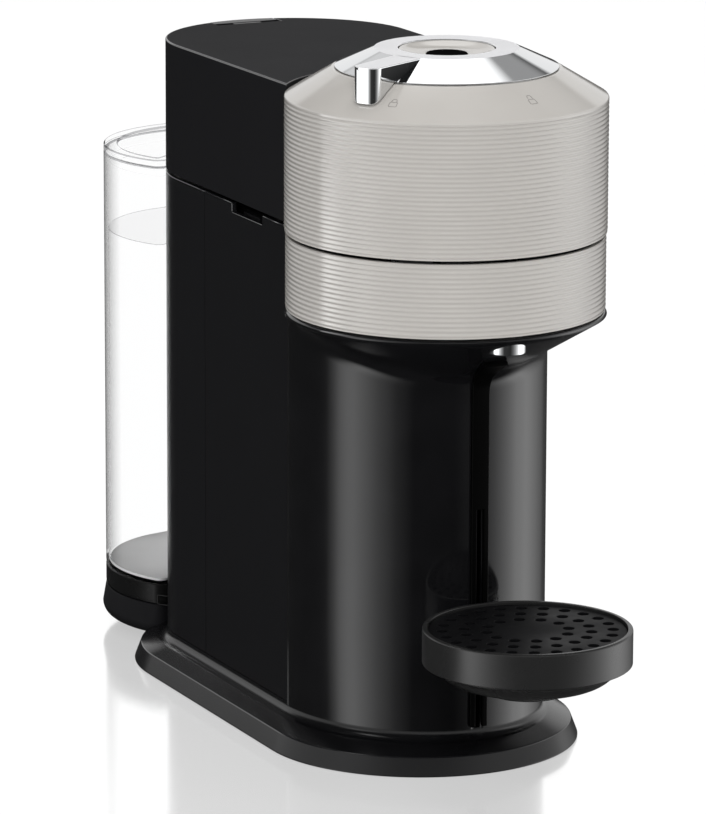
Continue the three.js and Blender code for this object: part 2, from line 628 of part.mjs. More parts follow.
/** Base shell: a flared skirt, a sloping deck and a filleted collar that carries the panels. */
function baseShell() {
  const rise = BASE_COLLAR_TOP_Z - BASE_EDGE_Z;
  const filletTurns = [0, 0.25, 0.5, 0.75, 1];
  const fillet = filletTurns.map((turn) => {
    const angle = (turn * Math.PI) / 2;
    const offset = BASE_FILLET * (1 - Math.sin(angle));
    const z = BASE_COLLAR_TOP_Z - Math.min(BASE_FILLET, rise) * Math.cos(angle);
    return ringAt(bodyOutline(offset), z);
  });
  const outer = loft([
    ringAt(baseOutline(BASE_HALF_WIDTH), BASE_BOTTOM_Z),
    ringAt(baseOutline(BASE_EDGE_HALF_WIDTH), BASE_EDGE_Z),
    ...fillet,
  ]);
  const floorBottom = BASE_FLOOR_Z - BASE_FLOOR_THICKNESS;
  const underside = prism(new THREE.Shape(baseOutline(BASE_EDGE_HALF_WIDTH - BASE_WALL)), 0, floorBottom);
  const well = prism(new THREE.Shape(bodyOutline(-BASE_WALL)), BASE_FLOOR_Z, BASE_COLLAR_TOP_Z + BEYOND);
  return outer.subtract(underside).subtract(well);
}

function bottomPlate() {
  const half = BASE_EDGE_HALF_WIDTH - BASE_WALL - GAP;
  const top = BOTTOM_PLATE_Z + BOTTOM_PLATE_THICKNESS;
  return prism(new THREE.Shape(baseOutline(half)), BOTTOM_PLATE_Z, top);
}

add("base_shell", baseShell(), BLACK_SATIN);
add("bottom_plate", bottomPlate(), BLACK_SATIN);

const FOOT_X = BASE_HALF_WIDTH - FOOT_SIDE_INSET;
const FOOT_FRONT_Y = BASE_FRONT_CENTRE_Y - FOOT_FRONT_OFFSET;
const FOOT_REAR_Y = BODY_REAR_CENTRE_Y + FOOT_REAR_OFFSET;
for (const [name, x, y] of [
  ["foot_front_left", -FOOT_X, FOOT_FRONT_Y],
  ["foot_front_right", FOOT_X, FOOT_FRONT_Y],
  ["foot_rear_left", -FOOT_X, FOOT_REAR_Y],
  ["foot_rear_right", FOOT_X, FOOT_REAR_Y],
]) {
  add(name, post(FOOT_RADIUS, 0, BOTTOM_PLATE_Z - GAP, x, y, SMALL), RUBBER);
}

// ---------------------------------------------------------------- column and panels

/**
 * Rings of the column: straight up, then a fillet, a parabola between its two tangents,
 * and the cone under the drum. The fillet shrinks where the cone has little reach.
 */
function columnRings(offset, backY, bottom) {
  const radius = FLARE_RADIUS + offset;
  const slant = Math.hypot(1, FLARE_SLOPE);
  const lift = offset * (FLARE_SLOPE - slant);
  const outline = columnArc(offset).map((point) => new THREE.Vector2(point.x, Math.min(point.y, backY)));
  const steps = 4;
  const most = 0.8; // share of the cone's reach that the fillet may take
  const filletRing = (t) => outline.map((point) => {
    const start = Math.hypot(point.x, point.y);
    const reach = Math.max(0, radius - start);
    const fillet = Math.min(FLARE_FILLET, most * reach * slant);
    const corner = FLARE_TOP_Z + lift - FLARE_SLOPE * reach;
    const out = (fillet / slant) * t * t;
    const z = corner - fillet * (1 - t) ** 2 + FLARE_SLOPE * out;
    const scale = (start + out) / start;
    return new THREE.Vector3(point.x * scale, point.y * scale, z);
  });
  const rim = outline.map((point) => {
    const scale = Math.max(1, radius / point.length());
    return new THREE.Vector3(point.x * scale, point.y * scale, FLARE_TOP_Z + lift);
  });
  const fillets = Array.from({ length: steps + 1 }, (unused, step) => filletRing(step / steps));
  return [ringAt(outline, bottom), ...fillets, rim];
}

function columnShell() {
  const seamY = COLUMN_SEAM_Y - PANEL_GAP / 2;
  const outer = loft(columnRings(0, seamY, PANEL_BOTTOM_Z));
  const inner = loft(columnRings(-BODY_WALL, seamY + BEYOND, PANEL_BOTTOM_Z - BEYOND));
  const slot = slab(SLOT_HALF_WIDTH, COLUMN_FRONT_Y - BEYOND, PANEL_BOTTOM_Z - BEYOND,
    COLUMN_FRONT_Y + 2 * BODY_WALL, SLOT_TOP_Z);
  return outer
    .intersect(slab(FAR, -FAR, 0, seamY, FLARE_TOP_Z + BEYOND))
    .subtract(inner)
    .subtract(slot)
    .subtract(post(OUTLET_RADIUS + GAP, OUTLET_BOTTOM_Z - BEYOND, FLARE_TOP_Z + BEYOND, 0, OUTLET_Y));
}

/** Rail strip on the column's front: it follows the flare and has the slot for the cup support. */
function supportRail() {
  const proud = loft(columnRings(RAIL_PROUD, COLUMN_SEAM_Y, PANEL_BOTTOM_Z));
  const seat = loft(columnRings(GAP, COLUMN_SEAM_Y, PANEL_BOTTOM_Z - BEYOND));
  return slab(RAIL_HALF_WIDTH, -FLARE_RADIUS, RAIL_BOTTOM_Z, 0, RAIL_TOP_Z)
    .intersect(proud)
    .subtract(seat)
    .subtract(slab(SLOT_HALF_WIDTH, -FLARE_RADIUS, RAIL_BOTTOM_Z - BEYOND, 0, SLOT_TOP_Z));
}

/** Side panel between the column and the rear shell, with a finger notch in its top edge. */
function sidePanel(side) {
  const front = COLUMN_SEAM_Y + PANEL_GAP / 2;
  const rear = REAR_SEAM_Y - PANEL_GAP / 2;
  const [x0, x1] = side < 0 ? [-FAR, 0] : [0, FAR];
  const half = block(x0, front, 0, x1, rear, BODY_TOP_Z);
  const notch = slab(FAR, NOTCH_FRONT_Y, LOWER_TOP_Z - NOTCH_DEPTH, NOTCH_REAR_Y, LOWER_TOP_Z + BEYOND);
  const drum = post(LOWER_DRUM_RADIUS + PANEL_GAP, LOWER_DRUM_BOTTOM_Z - PANEL_GAP, BODY_TOP_Z, 0, 0, FINE);
  const wall = bodyWall(PANEL_BOTTOM_Z, LOWER_TOP_Z, front, rear);
  return wall.intersect(half).subtract(notch).subtract(drum);
}

function rearShell() {
  return bodyWall(PANEL_BOTTOM_Z, LOWER_TOP_Z, REAR_SEAM_Y + PANEL_GAP / 2, BODY_REAR_Y + BEYOND);
}

add("column_shell", columnShell(), BLACK_GLOSS);
add("support_rail", supportRail(), BLACK_GLOSS);
add("side_panel_left", sidePanel(-1), BLACK_SATIN);
add("side_panel_right", sidePanel(1), BLACK_SATIN);
add("rear_shell", rearShell(), BLACK_SATIN);

// ---------------------------------------------------------------- chassis and rear deck

/** Moulded floor with two partitions: the container stands between them. */
function chassis() {
  const half = PARTITION_HALF_WIDTH;
  const partition = (y, top) => slab(half, y, CHASSIS_FLOOR_Z, y + PARTITION_THICKNESS, top);
  return bodyPrism(-BASE_WALL - GAP, CHASSIS_FLOOR_Z, CHASSIS_TOP_Z, FRONT_PARTITION_Y, BODY_REAR_Y)
    .add(partition(FRONT_PARTITION_Y, CONTAINER_TOP_Z))
    .add(partition(REAR_PARTITION_Y, DECK_TOP_Z - DECK_THICKNESS - GAP));
}

/** Deck over the rear compartment, with the bracket that carries the head's hinge. */
function rearDeck() {
  const inner = -BODY_WALL - GAP;
  const bottom = DECK_TOP_Z - DECK_THICKNESS;
  const rear = BODY_REAR_Y + BEYOND;
  const half = BRACKET_HALF_WIDTH;
  const rootTop = LOWER_TOP_Z + GAP; // the bracket passes over the rear shell's edge here
  const plate = bodyPrism(inner, bottom, DECK_TOP_Z, REAR_SEAM_Y + PANEL_GAP, rear);
  const root = slab(half, BRACKET_FRONT_Y - BRACKET_ROOT_DEPTH, bottom, rear, rootTop)
    .intersect(bodyPrism(inner, 0, BODY_TOP_Z, 0, rear));
  const tongue = slab(half, BRACKET_FRONT_Y, rootTop, rear, BODY_TOP_Z - BRACKET_TOP_DROP)
    .intersect(bodyPrism(0, 0, BODY_TOP_Z, 0, rear));
  const middle = BRACKET_KNUCKLE_HALF_WIDTH;
  const radius = BRACKET_KNUCKLE_RADIUS;
  const knuckle = rod(radius, -middle, middle, HINGE_Y, HINGE_Z)
    .add(slab(middle, HINGE_Y, HINGE_Z - radius, BRACKET_FRONT_Y + BEYOND, HINGE_Z + radius));
  const swing = KNUCKLE_RADIUS + KNUCKLE_SWING_GAP;
  const edge = half + BEYOND;
  return plate
    .add(root)
    .add(tongue)
    .add(knuckle)
    .subtract(rod(swing, middle, edge, HINGE_Y, HINGE_Z))
    .subtract(rod(swing, -edge, -middle, HINGE_Y, HINGE_Z))
    .subtract(rod(HINGE_PIN_RADIUS + GAP, -edge, edge, HINGE_Y, HINGE_Z));
}

add("chassis", chassis(), DARK_GREY);
add("rear_deck", rearDeck(), BLACK_SATIN);
add("hinge_pin", rod(HINGE_PIN_RADIUS, -BEAM_HALF_WIDTH, BEAM_HALF_WIDTH, HINGE_Y, HINGE_Z), STEEL);

// ---------------------------------------------------------------- capsule container

/** Bin for used capsules: a tab each side is lifted through the panel's notch. */
function capsuleContainer() {
  const y0 = FRONT_PARTITION_Y + PARTITION_THICKNESS + RUNNING_GAP;
  const y1 = REAR_PARTITION_Y - RUNNING_GAP;
  const bottom = CHASSIS_TOP_Z + GAP;
  const wall = CONTAINER_WALL;
  const half = PARTITION_HALF_WIDTH;
  const cornerSteps = 4;
  const outer = prism(roundedRect(half, y0, y1, CONTAINER_CORNER), bottom, CONTAINER_TOP_Z, cornerSteps);
  const inner = prism(roundedRect(half - wall, y0 + wall, y1 - wall, CONTAINER_CORNER - wall),
    bottom + wall, CONTAINER_TOP_Z + BEYOND, cornerSteps);
  const tabs = slab(BODY_HALF_WIDTH - BODY_WALL - CONTAINER_TAB_GAP,
    NOTCH_FRONT_Y + CONTAINER_TAB_MARGIN_FRONT, CONTAINER_TOP_Z - wall,
    NOTCH_REAR_Y - CONTAINER_TAB_MARGIN_REAR, CONTAINER_TOP_Z);
  return outer.add(tabs).subtract(inner);
}

add("capsule_container", capsuleContainer(), BLACK_SATIN);

// ---------------------------------------------------------------- water path

const WATER_ROW_Z = CHASSIS_TOP_Z + GAP;

/** Pump: a body with a narrower neck for the outlet. */
function waterPump() {
  const top = WATER_ROW_Z + PUMP_HEIGHT;
  return revolve([
    [0, WATER_ROW_Z],
    [PUMP_RADIUS, WATER_ROW_Z],
    [PUMP_RADIUS, top],
    [PUMP_NECK_RADIUS, top],
    [PUMP_NECK_RADIUS, top + PUMP_NECK_HEIGHT],
    [0, top + PUMP_NECK_HEIGHT],
  ], MEDIUM).translate([PUMP_X, WATER_ROW_Y, 0]);
}

/** Thermoblock: a cylinder with grooves between its fins. */
function thermoblock() {
  const top = WATER_ROW_Z + THERMOBLOCK_HEIGHT;
  const pitch = THERMOBLOCK_FIN_PITCH;
  const outer = THERMOBLOCK_RADIUS;
  const inner = outer - THERMOBLOCK_FIN;
  const half = THERMOBLOCK_GROOVE / 2;
  const corners = [[0, WATER_ROW_Z], [outer, WATER_ROW_Z]];
  for (let z = WATER_ROW_Z + pitch; z + half < top; z += pitch) {
    corners.push([outer, z - half], [inner, z - half], [inner, z + half], [outer, z + half]);
  }
  corners.push([outer, top], [0, top]);
  return revolve(corners, SMALL).translate([THERMOBLOCK_X, WATER_ROW_Y, 0]);
}

function controlBoard() {
  const front = REAR_PARTITION_Y + PARTITION_THICKNESS + GAP;
  return slab(BOARD_WIDTH / 2, front, BOARD_BOTTOM_Z, front + BOARD_THICKNESS, BOARD_BOTTOM_Z + BOARD_HEIGHT);
}

add("water_pump", waterPump(), ALUMINIUM);
add("thermoblock", thermoblock(), ALUMINIUM);
add("flow_meter", post(FLOW_METER_RADIUS, WATER_ROW_Z, WATER_ROW_Z + FLOW_METER_HEIGHT,
  0, FLOW_METER_Y, SMALL), WHITE_PLASTIC);
add("control_board", controlBoard(), GREEN_BOARD);

// ---------------------------------------------------------------- brewing chamber

function lowerDrum() {
  const inner = LOWER_DRUM_RADIUS - DRUM_WALL;
  const flangeTop = LOWER_DRUM_BOTTOM_Z + LOWER_DRUM_FLANGE_THICKNESS;
  return revolve([
    [LOWER_DRUM_RADIUS, LOWER_DRUM_BOTTOM_Z],
    [LOWER_DRUM_RADIUS, LOWER_TOP_Z],
    [inner, LOWER_TOP_Z],
    [inner, flangeTop],
    [LOWER_DRUM_FLANGE_RADIUS, flangeTop],
    [LOWER_DRUM_FLANGE_RADIUS, LOWER_DRUM_BOTTOM_Z],
  ]);
}

/** Underside of the chamber from the well's edge to its outer wall, moved by a clearance. */
function chamberUnderside(clearance) {
  return [
    [CHAMBER_WELL_RADIUS + clearance, CHAMBER_WELL_Z - clearance],
    [CHAMBER_WELL_RADIUS + CHAMBER_WELL_FLARE + clearance, CHAMBER_SHOULDER_Z - clearance],
    [CHAMBER_RADIUS - CHAMBER_WALL + clearance, CHAMBER_TROUGH_Z - clearance],
    [CHAMBER_RADIUS + clearance, CHAMBER_TROUGH_Z - clearance],
  ];
}

/** Chamber: a trough round a deep well, with a rim that the catch ring stands on. */
function brewChamber() {
  const wall = CHAMBER_WALL;
  const trough = CHAMBER_RADIUS - wall;
  const made = revolve([
    [CHAMBER_BORE_RADIUS, CHAMBER_WELL_Z],
    ...chamberUnderside(0),
    [CHAMBER_RADIUS, CHAMBER_RIM_Z],
    [CHAMBER_RIM_RADIUS, CHAMBER_RIM_Z],
    [CHAMBER_RIM_RADIUS, CHAMBER_RIM_Z + wall],
    [trough, CHAMBER_RIM_Z + wall],
    [trough, CHAMBER_TROUGH_Z + wall],
    [CHAMBER_WELL_RADIUS + CHAMBER_WELL_FLARE, CHAMBER_SHOULDER_Z + wall],
    [CHAMBER_WELL_RADIUS, CHAMBER_WELL_Z + wall],
    [CHAMBER_BORE_RADIUS, CHAMBER_WELL_Z + wall],
  ], INNER);
  return made.subtract(post(DRAIN_RADIUS, CHAMBER_WELL_Z, CHAMBER_RIM_Z, 0, OUTLET_Y + DRAIN_OFFSET, SMALL));
}

/** Outlet under the drum: a plain tube whose top follows the chamber's underside. */
function coffeeOutlet() {
  const top = LOWER_DRUM_BOTTOM_Z - GAP;
  const chamber = revolve([
    [0, CHAMBER_WELL_Z - GAP],
    ...chamberUnderside(GAP),
    [CHAMBER_RADIUS + GAP, CHAMBER_RIM_Z],
    [0, CHAMBER_RIM_Z],
  ], INNER);
  return tube(OUTLET_RADIUS - OUTLET_WALL, OUTLET_RADIUS, OUTLET_BOTTOM_Z, top)
    .translate([0, OUTLET_Y, 0])
    .subtract(chamber);
}

/** Catch ring: its three pockets take the locking ring's lugs and let them swing. */
function catchRing() {
  const bottom = CHAMBER_RIM_Z + CHAMBER_WALL + GAP;
  const outer = CHAMBER_RIM_RADIUS;
  const inner = outer - CATCH_RING_WIDTH;
  let made = tube(inner, outer, bottom, LOWER_TOP_Z - CATCH_RING_DROP, INNER);
  for (let i = 0; i < LOCK_LUG_COUNT; i++) {
    const from = LOCK_LUG_FIRST_ANGLE + (i * 360) / LOCK_LUG_COUNT - CATCH_POCKET_SPARE;
    const to = from + LOCK_LUG_ANGLE + LOCK_SWING + 2 * CATCH_POCKET_SPARE;
    const pocket = sector(inner - BEYOND, outer + BEYOND, bottom + CATCH_RING_FLOOR, LOWER_TOP_Z, from, to);
    made = made.subtract(pocket);
  }
  return made;
}

add("lower_drum", lowerDrum(), BEIGE);
add("brew_chamber", brewChamber(), DARK_GREY);
add("coffee_outlet", coffeeOutlet(), CHROME);
add("catch_ring", catchRing(), BLACK_SATIN);

// ---------------------------------------------------------------- capsule drive

/** Capsule holder: a cup with a coned floor, a rim and a bore for its shaft. */
function capsuleHolder() {
  const inner = HOLDER_RADIUS - HOLDER_WALL;
  const floor = HOLDER_FLOOR_Z;
  const rim = HOLDER_RIM_Z;
  const bore = HOLDER_SHAFT_RADIUS + GAP;
  return revolve([
    [bore, floor],
    [HOLDER_FLOOR_RADIUS, floor],
    [HOLDER_RADIUS, floor + HOLDER_CONE_HEIGHT],
    [HOLDER_RADIUS, rim - HOLDER_RIM_THICKNESS],
    [HOLDER_RIM_RADIUS, rim - HOLDER_RIM_THICKNESS],
    [HOLDER_RIM_RADIUS, rim],
    [inner, rim],
    [inner, floor + HOLDER_CONE_HEIGHT],
    [HOLDER_FLOOR_RADIUS - HOLDER_WALL, floor + HOLDER_FLOOR_THICKNESS],
    [bore, floor + HOLDER_FLOOR_THICKNESS],
  ], INNER);
}

/** Flanged belt pulley with a bore. */
function pulley(radius, bore, y) {
  const [bottom, top, lip] = [PULLEY_BOTTOM_Z, PULLEY_TOP_Z, PULLEY_FLANGE_THICKNESS];
  return revolve([
    [bore, bottom],
    [radius + PULLEY_FLANGE, bottom],
    [radius + PULLEY_FLANGE, bottom + lip],
    [radius, bottom + lip],
    [radius, top - lip],
    [radius + PULLEY_FLANGE, top - lip],
    [radius + PULLEY_FLANGE, top],
    [bore, top],
  ], SMALL).translate([0, y, 0]);
}

/** Outline of a belt round the two pulleys, a distance outside their faces. */
function beltOutline(outside) {
  const large = PULLEY_RADIUS + outside;
  const small = MOTOR_PULLEY_RADIUS + outside;
  const lean = Math.asin((large - small) / MOTOR_Y);
  const [largeSteps, smallSteps] = [16, 8];
  return [
    ...arc(0, 0, large, large, Math.PI - lean, 2 * Math.PI + lean, largeSteps),
    ...arc(0, MOTOR_Y, small, small, lean, Math.PI - lean, smallSteps),
  ];
}

function driveBelt() {
  const bottom = PULLEY_BOTTOM_Z + PULLEY_FLANGE_THICKNESS + GAP;
  const top = PULLEY_TOP_Z - PULLEY_FLANGE_THICKNESS - GAP;
  const outer = prism(new THREE.Shape(beltOutline(RUNNING_GAP + BELT_THICKNESS)), bottom, top);
  return outer.subtract(prism(new THREE.Shape(beltOutline(RUNNING_GAP)), bottom - BEYOND, top + BEYOND));
}

/** Drive bracket: an upper plate for the holder's bearing and a lower one for the motor. */
function driveBracket() {
  const half = DRIVE_BRACKET_HALF_WIDTH;
  const thick = DRIVE_BRACKET_THICKNESS;
  const [upper, lower] = [BRACKET_UPPER_Z, BRACKET_LOWER_Z];
  const rear = FRONT_PARTITION_Y - GAP;
  const wallY = MOTOR_Y + MOTOR_RADIUS + DRIVE_BRACKET_WALL_GAP;
  const nose = post(half, upper, upper + thick, 0, 0, INNER);
  const cupTop = BEARING_BOTTOM_Z + BEARING_HEIGHT - BEARING_CUP_DROP;
  const cupInner = BEARING_RADIUS + GAP;
  return nose
    .add(slab(half, 0, upper, rear, upper + thick))
    .add(slab(half, MOTOR_Y - MOTOR_RADIUS, lower, rear, lower + thick))
    .add(slab(half, wallY, lower, wallY + thick, upper + thick))
    .subtract(post(HOLDER_SHAFT_RADIUS + RUNNING_GAP, upper - BEYOND, upper + thick + BEYOND))
    .add(tube(cupInner, cupInner + BEARING_CUP_WALL, upper, cupTop))
    .subtract(post(MOTOR_SHAFT_RADIUS + RUNNING_GAP, lower - BEYOND, lower + thick + BEYOND,
      0, MOTOR_Y, SMALL));
}

function driveMotor() {
  const bottom = MOTOR_TOP_Z - MOTOR_HEIGHT;
  const boreBottom = MOTOR_TOP_Z - MOTOR_SHAFT_DEPTH;
  return post(MOTOR_RADIUS, bottom, MOTOR_TOP_Z, 0, MOTOR_Y)
    .subtract(post(MOTOR_SHAFT_RADIUS + GAP, boreBottom, MOTOR_TOP_Z + BEYOND, 0, MOTOR_Y, SMALL));
}

const SHAFT_BOTTOM_Z = PULLEY_BOTTOM_Z - SHAFT_END;
const SHAFT_TOP_Z = HOLDER_FLOOR_Z + HOLDER_FLOOR_THICKNESS;
const ROTOR_BOTTOM_Z = MOTOR_TOP_Z - MOTOR_SHAFT_DEPTH + GAP;

add("capsule_holder", capsuleHolder(), ALUMINIUM);
add("holder_shaft", post(HOLDER_SHAFT_RADIUS, SHAFT_BOTTOM_Z, SHAFT_TOP_Z), STEEL);
add("holder_bearing", tube(HOLDER_SHAFT_RADIUS + GAP, BEARING_RADIUS,
  BEARING_BOTTOM_Z, BEARING_BOTTOM_Z + BEARING_HEIGHT), STEEL);
add("holder_pulley", pulley(PULLEY_RADIUS, HOLDER_SHAFT_RADIUS + GAP, 0), WHITE_PLASTIC);
add("drive_belt", driveBelt(), RUBBER);
add("drive_bracket", driveBracket(), DARK_GREY);
add("drive_motor", driveMotor(), STEEL);
add("motor_shaft", post(MOTOR_SHAFT_RADIUS, ROTOR_BOTTOM_Z, PULLEY_TOP_Z, 0, MOTOR_Y, SMALL), STEEL);
add("motor_pulley", pulley(MOTOR_PULLEY_RADIUS, MOTOR_SHAFT_RADIUS + GAP, MOTOR_Y), WHITE_PLASTIC);

// ---------------------------------------------------------------- head shells

/** Outer surface of the upper drum, grown by an offset, as a solid of revolution. */
function drumEnvelope(offset) {
  return revolve([
    [0, 0],
    [DRUM_RADIUS + offset, 0],
    [DRUM_RADIUS + offset, SHOULDER_Z],
    [SHOULDER_TOP_RADIUS + offset, SHOULDER_TOP_Z + offset],
    [0, SHOULDER_TOP_Z + offset],
  ]);
}

/** Upper drum: a side wall, a coned shoulder, and a window for the head frame's beam. */
function upperDrum() {
  const wall = DRUM_WALL;
  const shoulderDrop = 0.6 * wall; // keeps the coned wall as thick as the side wall
  const made = revolve([
    [DRUM_RADIUS, HEAD_BOTTOM_Z],
    [DRUM_RADIUS, SHOULDER_Z],
    [SHOULDER_TOP_RADIUS, SHOULDER_TOP_Z],
    [DRUM_OPENING_RADIUS, SHOULDER_TOP_Z],
    [DRUM_OPENING_RADIUS, SHOULDER_TOP_Z - wall],
    [SHOULDER_TOP_RADIUS - wall, SHOULDER_TOP_Z - wall],
    [DRUM_RADIUS - wall, SHOULDER_Z - shoulderDrop],
    [DRUM_RADIUS - wall, HEAD_BOTTOM_Z],
  ]);
  const clear = RUNNING_GAP;
  return made.subtract(slab(BEAM_HALF_WIDTH + clear, 0, BEAM_BOTTOM_Z - clear,
    DRUM_RADIUS + BEYOND, BEAM_TOP_Z + clear));
}

/** Rear cover of the head, open below and in front, with a cut-out for the hinge bracket. */
function rearTopCover() {
  const edge = COVER_EDGE;
  const softening = 0.3; // where the rounded edge bends, as a share of its size
  const outer = loft([
    ringAt(bodyOutline(0), HEAD_BOTTOM_Z),
    ringAt(bodyOutline(0), BODY_TOP_Z - edge),
    ringAt(bodyOutline(-edge * softening), BODY_TOP_Z - edge * softening),
    ringAt(bodyOutline(-edge), BODY_TOP_Z),
  ]);
  const innerTop = BODY_TOP_Z - BODY_WALL;
  const inner = prism(new THREE.Shape(bodyOutline(-BODY_WALL)), HEAD_BOTTOM_Z - BEYOND, innerTop);
  const cutFront = HINGE_Y - BRACKET_KNUCKLE_RADIUS - COVER_CUT_GAP;
  const cut = slab(BRACKET_HALF_WIDTH + RUNNING_GAP, cutFront, HEAD_BOTTOM_Z - BEYOND,
    BODY_REAR_Y + BEYOND, BODY_TOP_Z + BEYOND);
  const ahead = slab(FAR, -FAR, 0, COLUMN_SEAM_Y, BODY_TOP_Z + BEYOND);
  return outer.subtract(inner).subtract(ahead).subtract(drumEnvelope(GAP)).subtract(cut);
}

add("upper_drum", upperDrum(), BEIGE);
add("rear_top_cover", rearTopCover(), BLACK_SATIN);

// ---------------------------------------------------------------- head frame and injector

/** Head frame: a disc and hub over the capsule, a pillar, and a beam back to the hinge. */
function headFrame() {
  const hubTop = FRAME_DISC_Z + FRAME_HUB_HEIGHT;
  const half = BEAM_HALF_WIDTH;
  const beamEnd = HINGE_Y - BRACKET_KNUCKLE_RADIUS - BEYOND;
  const inner = BRACKET_KNUCKLE_HALF_WIDTH + RUNNING_GAP;
  let made = post(FRAME_DISC_RADIUS, FRAME_DISC_Z, FRAME_DISC_Z + FRAME_DISC_THICKNESS, 0, 0, FINE)
    .add(post(FRAME_HUB_RADIUS, FRAME_DISC_Z, hubTop))
    .add(slab(half, FRAME_PILLAR_FRONT_Y, FRAME_DISC_Z + BEYOND, FRAME_PILLAR_REAR_Y, BEAM_TOP_Z))
    .add(slab(half, FRAME_PILLAR_FRONT_Y, BEAM_BOTTOM_Z, beamEnd, BEAM_TOP_Z));
  for (const [x0, x1] of [[-half, -inner], [inner, half]]) {
    made = made
      .add(rod(KNUCKLE_RADIUS, x0, x1, HINGE_Y, HINGE_Z))
      .add(block(x0, beamEnd - BEYOND, HINGE_Z - KNUCKLE_RADIUS, x1, HINGE_Y, BEAM_TOP_Z));
  }
  return made
    .subtract(rod(HINGE_PIN_RADIUS + GAP, -half - BEYOND, half + BEYOND, HINGE_Y, HINGE_Z))
    .subtract(post(PIERCING_SHAFT_RADIUS + RUNNING_GAP, FRAME_DISC_Z - BEYOND, PIERCING_SHAFT_TOP_Z + GAP))
    .subtract(post(NEEDLE_HEAD_RADIUS + GAP, PIERCING_SHAFT_TOP_Z, hubTop + BEYOND));
}

/** Piercing plate: it clamps the capsule's rim, pierces it and turns with it. */
function piercingPlate() {
  const bore = NEEDLE_RADIUS + PIERCING_BORE_GAP;
  const plateTop = PIERCING_Z + PIERCING_THICKNESS;
  const ringRadius = PIERCING_RADIUS - PIERCING_PIN_INSET;
  const sunk = 0.5; // how far a pin's root goes into the plate
  let made = revolve([
    [bore, PIERCING_Z],
    [PIERCING_RADIUS, PIERCING_Z],
    [PIERCING_RADIUS, plateTop],
    [PIERCING_SHAFT_RADIUS, plateTop],
    [PIERCING_SHAFT_RADIUS, PIERCING_SHAFT_TOP_Z],
    [bore, PIERCING_SHAFT_TOP_Z],
  ], MEDIUM);
  for (let i = 0; i < PIERCING_PIN_COUNT; i++) {
    const angle = (i / PIERCING_PIN_COUNT) * 2 * Math.PI;
    const pin = revolve([
      [0, PIERCING_Z - PIERCING_PIN_LENGTH],
      [PIERCING_PIN_RADIUS, PIERCING_Z + sunk],
      [0, PIERCING_Z + sunk],
    ], HOLE);
    made = made.add(pin.translate([ringRadius * Math.cos(angle), ringRadius * Math.sin(angle), 0]));
  }
  return made;
}

/** Injector: a pointed needle with a head that sits in the hub. */
function injectorNeedle() {
  const headBottom = PIERCING_SHAFT_TOP_Z + RUNNING_GAP;
  return revolve([
    [0, NEEDLE_TIP_Z],
    [NEEDLE_RADIUS, NEEDLE_TIP_Z + NEEDLE_POINT],
    [NEEDLE_RADIUS, headBottom],
    [NEEDLE_HEAD_RADIUS, headBottom],
    [NEEDLE_HEAD_RADIUS, headBottom + NEEDLE_HEAD_HEIGHT],
    [0, headBottom + NEEDLE_HEAD_HEIGHT],
  ], SMALL);
}

add("head_frame", headFrame(), DARK_GREY);
add("piercing_plate", piercingPlate(), WHITE_PLASTIC);
add("injector_needle", injectorNeedle(), STEEL);

// ---------------------------------------------------------------- locking ring

/** Locking ring: a band with three lugs, a flange under the lever, and a window for the beam. */
function lockRing() {
  const outer = LOCK_BAND_RADIUS;
  const inner = outer - LOCK_BAND_WALL;
  const top = LEVER_SKIRT_BOTTOM_Z - GAP;
  const under = top - LOCK_FLANGE_THICKNESS;
  const flangeInner = LEVER_SKIRT_RADIUS - LEVER_SKIRT_WALL;
  let made = revolve([
    [inner, LOCK_BAND_BOTTOM_Z],
    [outer, LOCK_BAND_BOTTOM_Z],
    [outer, under],
    [outer - LOCK_BAND_CHAMFER, top],
    [flangeInner, top],
    [flangeInner, under],
    [inner, under],
  ], INNER);
  const lugTop = LOCK_BAND_BOTTOM_Z + LOCK_LUG_OVERLAP;
  const lugInner = inner + GAP;
  for (let i = 0; i < LOCK_LUG_COUNT; i++) {
    const from = LOCK_LUG_FIRST_ANGLE + (i * 360) / LOCK_LUG_COUNT;
    const to = from + LOCK_LUG_ANGLE;
    made = made.add(sector(lugInner, outer + LOCK_LUG_REACH, lugTop - LOCK_LUG_HEIGHT, lugTop, from, to));
  }
  const spare = 1; // degrees beyond the beam at each end of the swing
  const halfBeam = THREE.MathUtils.radToDeg(Math.asin((BEAM_HALF_WIDTH + BEYOND) / inner)) + spare;
  const beamAngle = 90;
  const window = sector(inner - LOCK_BAND_WALL, outer + BEYOND, BEAM_BOTTOM_Z - BEYOND, BEAM_TOP_Z + BEYOND,
    beamAngle - LOCK_SWING - halfBeam, beamAngle + halfBeam);
  return made.subtract(window);
}

add("lock_ring", lockRing(), DARK_GREY);

// ---------------------------------------------------------------- lever

/** Plan of the lever's arm along +x: it narrows towards a finger with rounded corners. */
function leverArmShape() {
  const root = LEVER_ARM_ROOT_WIDTH / 2;
  const half = LEVER_FINGER_WIDTH / 2;
  const corner = LEVER_FINGER_CORNER;
  const centre = LEVER_ARM_REACH - corner;
  const shape = new THREE.Shape();
  shape.moveTo(LEVER_BORE_RADIUS + BEYOND, -root);
  shape.absarc(centre, corner - half, corner, -Math.PI / 2, 0);
  shape.absarc(centre, half - corner, corner, 0, Math.PI / 2);
  shape.lineTo(LEVER_BORE_RADIUS + BEYOND, root);
  return shape;
}

